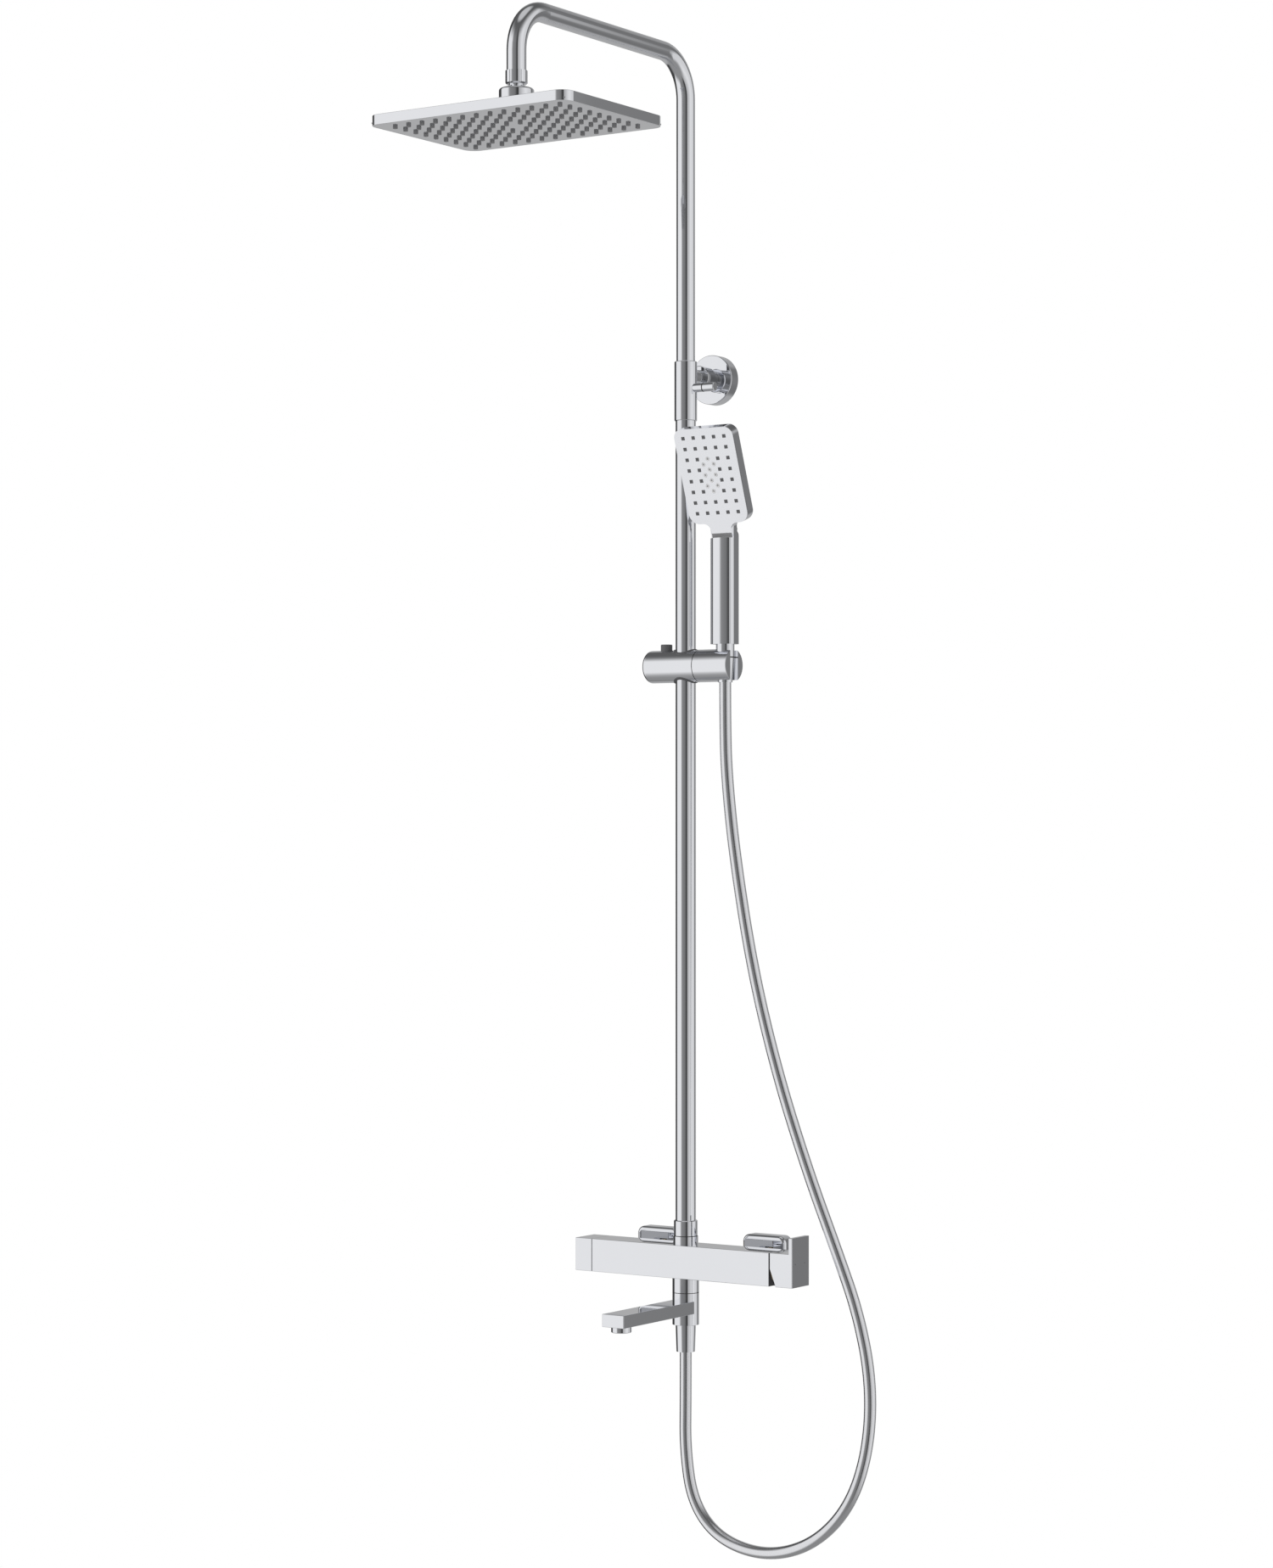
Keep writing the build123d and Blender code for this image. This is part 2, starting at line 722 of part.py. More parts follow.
# Plate that is screwed to the wall, with a boss for the post
with BuildPart() as bracket_base:
    with BuildSketch(from_wall(0, 0, bracket_z)):
        Circle(base_d / 2)
        with GridLocations(base_hole_pitch, 0, 2, 1):
            Circle(base_hole_d / 2, mode=Mode.SUBTRACT)
    extrude(amount=base_thickness)
    with BuildSketch(from_wall(base_thickness, 0, bracket_z)):
        Circle(base_boss_d / 2)
    extrude(amount=base_boss_length)
bracket_base.part.label = "bracket_base"
export_step(bracket_base.part, "parts/bracket_base.step")

with BuildPart() as bracket_flange:
    with BuildSketch(from_wall(0, 0, bracket_z)):
        Circle(flange_d / 2)
    extrude(amount=flange_depth)
    fillet(bracket_flange.faces().sort_by(Axis.Y)[0].edges(), flange_edge)
    offset(amount=-flange_wall, openings=bracket_flange.faces().sort_by(Axis.Y)[-1])
    with BuildSketch(from_wall(0, 0, bracket_z)):
        Circle(post_d / 2 + fit_gap)
    extrude(amount=flange_depth, mode=Mode.SUBTRACT)
bracket_flange.part.label = "bracket_flange"
export_step(bracket_flange.part, "parts/bracket_flange.step")

# Outlet under the bar, with the post that the spout turns on and the hose thread
post_r = post_d_outlet / 2
seal_levels = [outlet_bottom - oring_inset, spout_bottom + 2 * oring_inset]
retainer_z = spout_bottom + retainer_thickness
with BuildPart() as outlet_stub:
    with BuildSketch(level(-bar_waterway_d / 2)):
        Circle(nipple_tail_d / 2)
    extrude(amount=bar_waterway_d / 2 - bar_half)
    with BuildSketch(level(-bar_half)):
        Circle(outlet_d / 2)
    extrude(amount=-outlet_height)
    with BuildSketch(level(outlet_bottom)):
        Circle(post_r)
    extrude(amount=-sleeve_height_spout)
    with BuildSketch(level(spout_bottom)):
        Circle(hose_thread_d / 2)
    extrude(amount=-lower_nut_gap - hose_thread_length)
    for seal_z in seal_levels:
        with BuildSketch(level(seal_z)):
            Circle(post_r)
            Circle(post_r - oring_d, mode=Mode.SUBTRACT)
        extrude(amount=oring_d / 2, both=True, mode=Mode.SUBTRACT)
    with BuildSketch(level(retainer_z)):
        Circle(post_r)
        Circle(retainer_groove_d / 2, mode=Mode.SUBTRACT)
    extrude(amount=retainer_thickness, mode=Mode.SUBTRACT)
    with BuildSketch(level(-bar_waterway_d / 2)):
        Circle(post_bore_d / 2)
    extrude(amount=spout_bottom * 2, mode=Mode.SUBTRACT)
outlet_stub.part.label = "outlet_stub"
export_step(outlet_stub.part, "parts/outlet_stub.step")

with BuildPart() as spout_seals:
    for seal_z in seal_levels:
        with BuildSketch(profile_at()):
            with Locations((post_r - oring_d / 2 + run_gap, seal_z)):
                Circle(oring_d / 2 - run_gap)
        revolve(axis=column_axis)
spout_seals.part.label = "spout_seals"
export_step(spout_seals.part, "parts/spout_seals.step")

with BuildPart() as spout_retainer:
    with BuildSketch(level(retainer_z)):
        Circle(retainer_d / 2)
        Circle(retainer_groove_d / 2 + fit_gap, mode=Mode.SUBTRACT)
        with Locations((0, retainer_d / 2)):
            Rectangle(retainer_mouth, retainer_d / 2, mode=Mode.SUBTRACT)
    extrude(amount=retainer_thickness)
spout_retainer.part.label = "spout_retainer"
export_step(spout_retainer.part, "parts/spout_retainer.step")

# Spout: a sleeve on the post and a flat square arm with a water duct
spout_mid = spout_top - spout_height / 2
with BuildPart() as spout:
    with BuildSketch(from_wall(wall_to_column, 0, spout_mid)):
        Rectangle(spout_width, spout_height)
    extrude(amount=spout_reach)
    fillet(spout.edges(), spout_edge)
    with BuildSketch(level(outlet_bottom - shadow_gap)):
        Circle(outlet_d / 2)
    extrude(amount=spout_bottom - outlet_bottom + shadow_gap)
    with BuildSketch(from_wall(wall_to_column, 0, spout_mid)):
        Rectangle(spout_duct_width, spout_duct_height)
    extrude(amount=aerator_reach + aerator_bore_d / 2, mode=Mode.SUBTRACT)
    with BuildSketch(level(outlet_bottom)):
        Circle(post_r + run_gap)
    extrude(amount=spout_bottom - outlet_bottom, mode=Mode.SUBTRACT)
    with BuildSketch(level(spout_bottom)):
        Circle(retainer_d / 2 + free_gap)
    extrude(amount=2 * retainer_thickness + free_gap, mode=Mode.SUBTRACT)
    with BuildSketch(level(spout_mid, 0, column_y - aerator_reach)):
        Circle(aerator_thread_d / 2 + fit_gap)
    extrude(amount=-spout_height, mode=Mode.SUBTRACT)
spout.part.label = "spout"
export_step(spout.part, "parts/spout.step")

aerator_y = column_y - aerator_reach
aerator_top = spout_top - spout_height
with BuildPart() as aerator_housing:
    with BuildSketch(level(aerator_top, 0, aerator_y)):
        Circle(aerator_d / 2)
    extrude(amount=-aerator_drop)
    chamfer(aerator_housing.faces().sort_by(Axis.Z)[0].edges(), aerator_chamfer)
    with BuildSketch(level(aerator_top, 0, aerator_y)):
        Circle(aerator_thread_d / 2)
    extrude(amount=aerator_thread_length)
    with BuildSketch(level(aerator_top + aerator_thread_length, 0, aerator_y)):
        Circle(aerator_bore_d / 2)
    extrude(amount=-aerator_thread_length - aerator_drop, mode=Mode.SUBTRACT)
aerator_housing.part.label = "aerator_housing"
export_step(aerator_housing.part, "parts/aerator_housing.step")

with BuildPart() as aerator_insert:
    with BuildSketch(level(aerator_top - aerator_drop + aerator_disc_inset, 0, aerator_y)):
        Circle(aerator_bore_d / 2 - fit_gap)
        with HexLocations(aerator_hole_pitch / 2, 3, 3, major_radius=False):
            Circle(aerator_hole_d / 2, mode=Mode.SUBTRACT)
    extrude(amount=aerator_disc_thickness)
aerator_insert.part.label = "aerator_insert"
export_step(aerator_insert.part, "parts/aerator_insert.step")

# Upper tube: riser, arm and drop bent from one length
drop_end = arm_collar_bottom + arm_collar_height - arm_tube_depth
with BuildPart() as upper_tube:
    with BuildLine() as arm_line:
        FilletPolyline(
            (0, column_y, riser_foot),
            (0, column_y, arm_z),
            (0, head_y, arm_z),
            (0, head_y, drop_end),
            radius=arm_bend_r,
        )
    with BuildSketch(level(riser_foot)):
        Circle(riser_d / 2)
        Circle(riser_bore_d / 2, mode=Mode.SUBTRACT)
    sweep(path=arm_line.wire())
upper_tube.part.label = "upper_tube"
export_step(upper_tube.part, "parts/upper_tube.step")

# Collar on the arm's end, with grooves for the grip
with BuildPart() as arm_collar:
    with BuildSketch(level(arm_collar_bottom, 0, head_y)):
        Circle(arm_collar_d / 2)
    extrude(amount=arm_collar_height)
    chamfer(arm_collar.faces().sort_by(Axis.Z)[0].edges(), arm_collar_chamfer)
    with BuildSketch(level(arm_collar_bottom, 0, head_y)):
        with PolarLocations(arm_collar_d / 2, arm_collar_grooves, start_angle=-90):
            Rectangle(2 * arm_collar_groove_depth, arm_collar_groove_width)
    extrude(amount=arm_collar_height, mode=Mode.SUBTRACT)
    with BuildSketch(level(drop_end, 0, head_y)):
        Circle(riser_d / 2 + fit_gap)
    extrude(amount=arm_tube_depth, mode=Mode.SUBTRACT)
    with BuildSketch(level(arm_collar_bottom, 0, head_y)):
        Circle(stem_thread_d / 2 + fit_gap)
    extrude(amount=arm_collar_height, mode=Mode.SUBTRACT)
arm_collar.part.label = "arm_collar"
export_step(arm_collar.part, "parts/arm_collar.step")

stem_bottom = arm_collar_bottom - stem_shoulder
with BuildPart() as ball_stem:
    with Locations((0, head_y, ball_z)):
        Sphere(ball_r)
    with BuildSketch(level(ball_z, 0, head_y)):
        Circle(ball_neck_d / 2)
    extrude(amount=stem_bottom - ball_z)
    with BuildSketch(level(stem_bottom, 0, head_y)):
        Circle(stem_thread_d / 2)
    extrude(amount=drop_end - stem_bottom)
    with BuildSketch(level(ball_z - ball_r, 0, head_y)):
        Circle(ball_bore_d / 2)
    extrude(amount=drop_end - ball_z + ball_r, mode=Mode.SUBTRACT)
ball_stem.part.label = "ball_stem"
export_step(ball_stem.part, "parts/ball_stem.step")


def ball_zone(inner_r, outer_r, start, end):
    """Half section of a spherical ring about the ball's centre; angles count from straight up."""
    angles = (radians(start), radians((start + end) / 2), radians(end))
    inner = [(inner_r * sin(a), ball_z + inner_r * cos(a)) for a in angles]
    outer = [(outer_r * sin(a), ball_z + outer_r * cos(a)) for a in angles]
    with BuildSketch() as zone:
        with BuildLine():
            ThreePointArc(*inner)
            Line(inner[2], outer[2])
            ThreePointArc(*outer[::-1])
            Line(outer[0], inner[0])
        make_face()
    return zone.sketch


# Plastic seat above the ball's middle and rubber seal below it
seat_inner_r = ball_r + run_gap
seat_outer_r = seat_inner_r + seat_wall
with BuildPart() as ball_seat:
    with BuildSketch(profile_at(0, head_y)):
        add(ball_zone(seat_inner_r, seat_outer_r, seat_from, seat_to))
    revolve(axis=head_axis)
ball_seat.part.label = "ball_seat"
export_step(ball_seat.part, "parts/ball_seat.step")

with BuildPart() as ball_seal:
    with BuildSketch(profile_at(0, head_y)):
        add(ball_zone(seat_inner_r, seat_outer_r, seal_from, seal_to))
    revolve(axis=head_axis)
ball_seal.part.label = "ball_seal"
export_step(ball_seal.part, "parts/ball_seal.step")

# Round cup on the head's back that holds the ball
with BuildPart() as head_base:
    with BuildSketch(level(head_top, 0, head_y)):
        Circle(head_base_d / 2)
    extrude(amount=head_base_top - head_top)
    fillet(head_base.faces().sort_by(Axis.Z)[-1].edges(), head_base_edge)
    with Locations((0, head_y, ball_z)):
        Sphere(seat_outer_r + run_gap, mode=Mode.SUBTRACT)
    with BuildSketch(level(head_base_top, 0, head_y)) as mouth:
        Circle(head_base_mouth_r)
    with BuildSketch(level(ball_z + seat_outer_r / 2, 0, head_y)) as throat:
        Circle(head_base_throat_r)
    loft(mode=Mode.SUBTRACT)
    with BuildSketch(level(head_top, 0, head_y)):
        Circle(head_base_outlet_d / 2)
    extrude(amount=ball_z - head_top - seat_outer_r / 2, mode=Mode.SUBTRACT)
head_base.part.label = "head_base"
export_step(head_base.part, "parts/head_base.step")

# Rain head: a shallow shell, closed below by the face that the nozzles come through
with BuildPart() as head_shell:
    with BuildSketch(level(head_bottom, 0, head_y)):
        RectangleRounded(head_width, head_depth, head_corner)
    extrude(amount=head_height)
    fillet(head_shell.faces().sort_by(Axis.Z)[-1].edges(), head_edge)
    with BuildSketch(level(head_bottom, 0, head_y)):
        RectangleRounded(head_width - 2 * head_wall, head_depth - 2 * head_wall, head_corner - head_wall)
    extrude(amount=head_height - head_wall, mode=Mode.SUBTRACT)
    with BuildSketch(level(head_top, 0, head_y)):
        Circle(head_base_outlet_d / 2)
    extrude(amount=-head_wall, mode=Mode.SUBTRACT)
head_shell.part.label = "head_shell"
export_step(head_shell.part, "parts/head_shell.step")


def nozzle_grid(size):
    """Squares in a grid over the head's face, without the middle one."""
    with BuildSketch() as grid:
        with GridLocations(nozzle_pitch, nozzle_pitch, nozzle_columns, nozzle_rows):
            Rectangle(size, size)
        Circle(nozzle_pitch / 2, mode=Mode.SUBTRACT)
    return grid.sketch


face_width = head_width - 2 * head_wall - 2 * fit_gap
face_depth = head_depth - 2 * head_wall - 2 * fit_gap
face_corner = head_corner - head_wall - fit_gap
with BuildPart() as head_face:
    with BuildSketch(level(head_bottom, 0, head_y)):
        RectangleRounded(face_width, face_depth, face_corner)
        add(nozzle_grid(nozzle_size + 2 * fit_gap), mode=Mode.SUBTRACT)
    extrude(amount=face_thickness)
head_face.part.label = "head_face"
export_step(head_face.part, "parts/head_face.step")

# Soft mat with the dark square nozzles
with BuildPart() as head_nozzles:
    with BuildSketch(level(head_bottom + face_thickness, 0, head_y)):
        RectangleRounded(face_width - mat_margin, face_depth - mat_margin, face_corner)
    extrude(amount=mat_thickness)
    with BuildSketch(level(head_bottom - nozzle_proud, 0, head_y)):
        add(nozzle_grid(nozzle_size))
    extrude(amount=nozzle_proud + face_thickness)
head_nozzles.part.label = "head_nozzles"
export_step(head_nozzles.part, "parts/head_nozzles.step")

# Slider: a plastic bush on the tube, trimmed to the round body that turns about it
with BuildPart() as slider_bush:
    with BuildSketch(level(slider_z)):
        Circle(bush_r)
        Circle(tube_d / 2 + run_gap, mode=Mode.SUBTRACT)
    extrude(amount=slider_r + bush_proud, both=True)
    with BuildSketch(across(-2 * bush_r, slider_z)):
        Circle(slider_r + bush_proud)
    extrude(amount=4 * bush_r, mode=Mode.INTERSECT)
slider_bush.part.label = "slider_bush"
export_step(slider_bush.part, "parts/slider_bush.step")

button_top = slider_z + slider_r + button_rise
button_foot = button_top - button_length
with BuildPart() as slider_body:
    with BuildSketch(across(-slider_left, slider_z)):
        Circle(slider_r)
    extrude(amount=slider_left + slider_seam)
    fillet(slider_body.edges().sort_by(Axis.X)[0], slider_edge)
    with BuildSketch(level(slider_z)):
        Circle(bush_r + run_gap)
    extrude(amount=2 * slider_r, both=True, mode=Mode.SUBTRACT)
    with BuildSketch(level(button_top, button_x)):
        Circle(button_d / 2 + free_gap)
    extrude(amount=-button_length - spring_length, mode=Mode.SUBTRACT)
    with BuildSketch(across(slider_seam, slider_z)):
        Circle(axle_d / 2 + fit_gap)
    extrude(amount=-axle_hold, mode=Mode.SUBTRACT)
slider_body.part.label = "slider_body"
export_step(slider_body.part, "parts/slider_body.step")

with BuildPart() as release_button:
    with BuildSketch(level(button_foot, button_x)):
        Circle(button_d / 2)
    extrude(amount=button_length)
    fillet(release_button.faces().sort_by(Axis.Z)[-1].edges(), button_edge)
release_button.part.label = "release_button"
export_step(release_button.part, "parts/release_button.step")

with BuildPart() as button_spring:
    with BuildSketch(level(button_foot - spring_length, button_x)):
        Circle(spring_d / 2)
        Circle(spring_d / 2 - spring_wire, mode=Mode.SUBTRACT)
    extrude(amount=spring_length)
button_spring.part.label = "button_spring"
export_step(button_spring.part, "parts/button_spring.step")

with BuildPart() as holder_axle:
    with BuildSketch(across(slider_seam - axle_hold, slider_z)):
        Circle(axle_d / 2)
    extrude(amount=axle_length)
holder_axle.part.label = "holder_axle"
export_step(holder_axle.part, "parts/holder_axle.step")

# Holder with a tapered seat and a slot for the hose
cone_r = grip_tube_d / 2
with BuildPart() as holder:
    with BuildSketch(across(holder_start, slider_z)):
        Circle(slider_r)
    extrude(amount=holder_end - holder_start)
    chamfer(holder.edges().filter_by(GeomType.CIRCLE), holder_chamfer)
    with BuildSketch(profile_at(handset_x)):
        with BuildLine():
            Polyline(
                (0, slider_z + 2 * slider_r),
                (cone_r + free_gap, slider_z + 2 * slider_r),
                (cone_r + free_gap, grip_tube_bottom),
                (hose_cone_small_d / 2 + free_gap, hose_cone_bottom),
                (hose_cone_small_d / 2 + free_gap, slider_z - 2 * slider_r),
                (0, slider_z - 2 * slider_r),
                close=True,
            )
        make_face()
    revolve(axis=grip_axis, mode=Mode.SUBTRACT)
    with BuildSketch(across(handset_x, slider_z)):
        Rectangle(holder_slot, 4 * slider_r)
    extrude(amount=holder_end - handset_x, mode=Mode.SUBTRACT)
    with BuildSketch(across(holder_start, slider_z)):
        Circle(axle_d / 2 + run_gap)
    extrude(amount=slider_seam - axle_hold + axle_length + free_gap - holder_start, mode=Mode.SUBTRACT)
holder.part.label = "holder"
export_step(holder.part, "parts/holder.step")

# Conical nut on the hose's upper end
spigot_bottom = grip_tube_bottom - grip_spigot_length
with BuildPart() as hose_nut_upper:
    with BuildSketch(profile_at(handset_x)):
        with BuildLine():
            Polyline(
                (hose_bore_d / 2, hose_cone_bottom),
                (hose_cone_small_d / 2, hose_cone_bottom),
                (cone_r, grip_tube_bottom),
                (grip_spigot_d / 2 + fit_gap, grip_tube_bottom),
                (grip_spigot_d / 2 + fit_gap, spigot_bottom),
                (hose_bore_d / 2, spigot_bottom),
                close=True,
            )
        make_face()
    revolve(axis=grip_axis)
hose_nut_upper.part.label = "hose_nut_upper"
export_step(hose_nut_upper.part, "parts/hose_nut_upper.step")

# Round tube of the handle
with BuildPart() as handset_tube:
    with BuildSketch(level(grip_tube_bottom + shadow_gap, handset_x)):
        Circle(cone_r)
    extrude(amount=grip_tube_top - grip_tube_bottom - shadow_gap)
    fillet(handset_tube.faces().sort_by(Axis.Z)[-1].edges(), grip_edge)
    with BuildSketch(level(spigot_bottom, handset_x)):
        Circle(grip_spigot_d / 2)
    extrude(amount=grip_spigot_length + shadow_gap)
    with BuildSketch(level(spigot_bottom, handset_x)):
        Circle(grip_tube_bore_d / 2)
    extrude(amount=grip_tube_top - grip_tube_cap - spigot_bottom, mode=Mode.SUBTRACT)
handset_tube.part.label = "handset_tube"
export_step(handset_tube.part, "parts/handset_tube.step")

# The spray face leans forward from the top of the handle
face_plane = Plane(
    origin=(handset_x, column_y - face_front, bend_z),
    x_dir=(1, 0, 0),
    z_dir=(0, -lean_cos, -lean_sin),
)


def spray_outline(inset):
    """Outline of the spray face: a neck, two shoulders and a long rounded rectangle."""
    half = spray_width / 2 - inset
    neck = spray_neck_width / 2 - inset
    low = spray_shoulder + inset
    top = spray_length - inset
    low_r = spray_low_r - inset
    top_r = spray_top_r - inset
    neck_r = spray_neck_r + inset
    with BuildSketch() as outline:
        with BuildLine():
            Polyline((0, inset), (neck, inset), (neck, low - neck_r))
            RadiusArc((neck, low - neck_r), (neck + neck_r, low), neck_r)
            Line((neck + neck_r, low), (half - low_r, low))
            RadiusArc((half - low_r, low), (half, low + low_r), -low_r)
            Line((half, low + low_r), (half, top - top_r))
            RadiusArc((half, top - top_r), (half - top_r, top), -top_r)
            Line((half - top_r, top), (0, top))
            mirror(about=Plane.YZ)
        make_face()
    return outline.sketch


spray_grid_centre = spray_first_row + spray_pitch_y * (spray_rows - 1) / 2


def spray_pegs(size):
    """Square nozzles in a grid, without the middle of its four middle rows."""
    with BuildSketch() as pegs:
        with Locations((0, spray_grid_centre)):
            with GridLocations(spray_pitch_x, spray_pitch_y, spray_columns, spray_rows):
                Rectangle(size, size)
            Rectangle(spray_pitch_x, 4 * spray_pitch_y, mode=Mode.SUBTRACT)
    return pegs.sketch


# Round jets: four up the middle, in the peg rows, and three pairs between those rows
jet_places = [(0.0, spray_grid_centre + row * spray_pitch_y) for row in (-1.5, -0.5, 0.5, 1.5)]
jet_places += [
    (side * spray_pitch_x / 2, spray_grid_centre + row * spray_pitch_y)
    for row in (-1, 0, 1)
    for side in (-1, 1)
]

# Handle of flat sides with a round front and back, and spray shell in one moulding, open at the front
grip_side = Plane(origin=(handset_x, 0, 0), x_dir=(0, 1, 0), z_dir=(1, 0, 0))
grip_half = grip_width / 2
tail_top = bend_z + grip_tail
face_foot_z = bend_z - (face_front - grip_front) / tan(radians(lean))
face_back_y = column_y - face_front - grip_tail * tan(radians(lean))
with BuildPart() as handset_body:
    with BuildSketch(level(grip_bottom, handset_x)) as grip_outline:
        with BuildLine():
            Line((-grip_half, -grip_corner_front), (-grip_half, grip_corner_back))
            ThreePointArc((-grip_half, grip_corner_back), (0, grip_crown_back), (grip_half, grip_corner_back))
            Line((grip_half, grip_corner_back), (grip_half, -grip_corner_front))
            ThreePointArc(
                (grip_half, -grip_corner_front),
                (0, -grip_crown_front),
                (-grip_half, -grip_corner_front),
            )
        make_face()
        fillet(grip_outline.vertices(), grip_round)
    extrude(amount=tail_top - grip_bottom)
    with BuildSketch(grip_side):
        with BuildLine():
            Polyline(
                (column_y - 2 * grip_crown_front, grip_top),
                (column_y - grip_front, grip_top),
                (column_y - grip_front, face_foot_z),
                (face_back_y, tail_top),
                (column_y - 2 * grip_crown_front, tail_top),
                close=True,
            )
        make_face()
        with BuildLine():
            Polyline(
                (column_y + grip_crown_back, grip_slope_z),
                (face_back_y, tail_top),
                (column_y + grip_crown_back, tail_top),
                close=True,
            )
        make_face()
    extrude(amount=grip_width, both=True, mode=Mode.SUBTRACT)
    with BuildSketch(grip_side):
        with BuildLine():
            Polyline(
                (column_y - grip_front, face_foot_z),
                (column_y - face_front - spray_shoulder * lean_sin, bend_z + spray_shoulder * lean_cos),
                (
                    column_y - face_front - spray_shoulder * lean_sin + spray_thickness * lean_cos,
                    bend_z + spray_shoulder * lean_cos + spray_thickness * lean_sin,
                ),
                (column_y + grip_front, face_foot_z),
                close=True,
            )
        make_face()
    extrude(amount=spray_neck_width / 2, both=True)
    with BuildSketch(face_plane):
        add(spray_outline(0))
    extrude(amount=-spray_thickness)
    with BuildSketch(face_plane):
        add(spray_outline(0))
    extrude(amount=-spray_face_thickness, mode=Mode.SUBTRACT)
    with BuildSketch(face_plane.offset(-spray_face_thickness)):
        add(spray_outline(spray_wall))
    extrude(amount=spray_face_thickness + spray_wall - spray_thickness, mode=Mode.SUBTRACT)
    with BuildSketch(level(grip_bottom, handset_x)):
        Circle(cone_r + fit_gap)
    extrude(amount=grip_tube_top - grip_bottom, mode=Mode.SUBTRACT)
handset_body.part.label = "handset_body"
export_step(handset_body.part, "parts/handset_body.step")

with BuildPart() as handset_face:
    with BuildSketch(face_plane):
        add(spray_outline(fit_gap))
        add(spray_pegs(spray_peg + 2 * fit_gap), mode=Mode.SUBTRACT)
        with Locations(*jet_places):
            Circle(jet_d / 2 + fit_gap, mode=Mode.SUBTRACT)
    extrude(amount=-spray_face_thickness)
handset_face.part.label = "handset_face"
export_step(handset_face.part, "parts/handset_face.step")

mat_inset = spray_wall + 2 * fit_gap
with BuildPart() as handset_nozzles:
    with BuildSketch(face_plane.offset(-spray_face_thickness)):
        add(spray_outline(mat_inset))
        with Locations(*jet_places):
            Circle(jet_d / 2 + fit_gap, mode=Mode.SUBTRACT)
    extrude(amount=-spray_mat_thickness)
    with BuildSketch(face_plane.offset(spray_peg_proud)):
        add(spray_pegs(spray_peg))
    extrude(amount=-spray_peg_proud - spray_face_thickness)
handset_nozzles.part.label = "handset_nozzles"
export_step(handset_nozzles.part, "parts/handset_nozzles.step")

with BuildPart() as handset_jets:
    with BuildSketch(face_plane.offset(jet_proud)):
        with Locations(*jet_places):
            Circle(jet_d / 2)
            Circle(jet_bore_d / 2, mode=Mode.SUBTRACT)
    extrude(amount=-jet_proud - spray_face_thickness - spray_mat_thickness)
handset_jets.part.label = "handset_jets"
export_step(handset_jets.part, "parts/handset_jets.step")

# Conical nut on the hose's lower end
with BuildPart() as hose_nut_lower:
    with BuildSketch(profile_at()):
        with BuildLine():
            Polyline(
                (hose_bore_d / 2, lower_nut_bottom),
                (lower_nut_foot_d / 2, lower_nut_bottom),
                (lower_nut_top_d / 2, lower_nut_top),
                (hose_thread_d / 2 + fit_gap, lower_nut_top),
                (hose_thread_d / 2 + fit_gap, lower_nut_top - hose_thread_length),
                (hose_bore_d / 2, lower_nut_top - hose_thread_length),
                close=True,
            )
        make_face()
    revolve(axis=column_axis)
hose_nut_lower.part.label = "hose_nut_lower"
export_step(hose_nut_lower.part, "parts/hose_nut_lower.step")

# Hose: straight runs with arcs as large as the runs allow, in stretches that meet mid-run
route = [Vector(x, column_y, z) for points in hose_route.values() for x, z in points]
runs = [b - a for a, b in zip(route, route[1:])]
bend_radii = {}
for corner, (run_in, run_out) in enumerate(zip(runs, runs[1:]), start=1):
    half_turn = radians(run_in.get_angle(run_out)) / 2
    bend_radii[corner] = hose_bend_share * min(run_in.length, run_out.length) / tan(half_turn)
print("hose bend radii:", [round(r) for r in bend_radii.values()])

hose_section = pi * (hose_d**2 - hose_bore_d**2) / 4
first = 0
for name, points in hose_route.items():
    after = first + len(points)
    corners = [i for i in range(first, after) if i in bend_radii]
    start = route[0] if first == 0 else (route[first - 1] + route[first]) / 2
    end = route[-1] if after == len(route) else (route[after - 1] + route[after]) / 2
    with BuildPart() as hose_stretch:
        with BuildLine() as hose_line:
            FilletPolyline(start, *[route[i] for i in corners], end, radius=[bend_radii[i] for i in corners])
        with BuildSketch(Plane(origin=start, z_dir=route[corners[0]] - start)):
            Circle(hose_d / 2)
            Circle(hose_bore_d / 2, mode=Mode.SUBTRACT)
        sweep(path=hose_line.wire())
    hose_length = hose_line.wire().length
    volume_ratio = hose_stretch.part.volume / hose_section / hose_length
    print(name, "length", round(hose_length), "volume ratio", round(volume_ratio, 4))
    hose_stretch.part.label = name
    export_step(hose_stretch.part, f"parts/{name}.step")
    first = after
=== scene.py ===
import bpy
import json
from math import cos, pi, radians, sin
from mathutils import Matrix, Vector


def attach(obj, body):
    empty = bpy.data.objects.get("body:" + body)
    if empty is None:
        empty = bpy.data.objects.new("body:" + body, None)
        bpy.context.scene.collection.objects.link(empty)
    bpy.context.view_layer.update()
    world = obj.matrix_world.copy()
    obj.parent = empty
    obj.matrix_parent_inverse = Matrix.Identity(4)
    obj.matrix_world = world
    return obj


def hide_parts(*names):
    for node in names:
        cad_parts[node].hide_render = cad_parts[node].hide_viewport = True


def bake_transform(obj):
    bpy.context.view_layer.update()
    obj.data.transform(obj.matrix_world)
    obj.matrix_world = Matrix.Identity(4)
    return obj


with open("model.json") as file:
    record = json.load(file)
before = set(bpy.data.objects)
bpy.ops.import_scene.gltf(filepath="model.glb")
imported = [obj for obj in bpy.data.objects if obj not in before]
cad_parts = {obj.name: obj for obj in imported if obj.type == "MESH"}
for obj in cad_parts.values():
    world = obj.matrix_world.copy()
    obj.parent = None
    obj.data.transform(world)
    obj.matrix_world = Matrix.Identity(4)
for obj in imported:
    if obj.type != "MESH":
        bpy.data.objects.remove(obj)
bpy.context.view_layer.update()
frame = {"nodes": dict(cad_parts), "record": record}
scene = bpy.context.scene

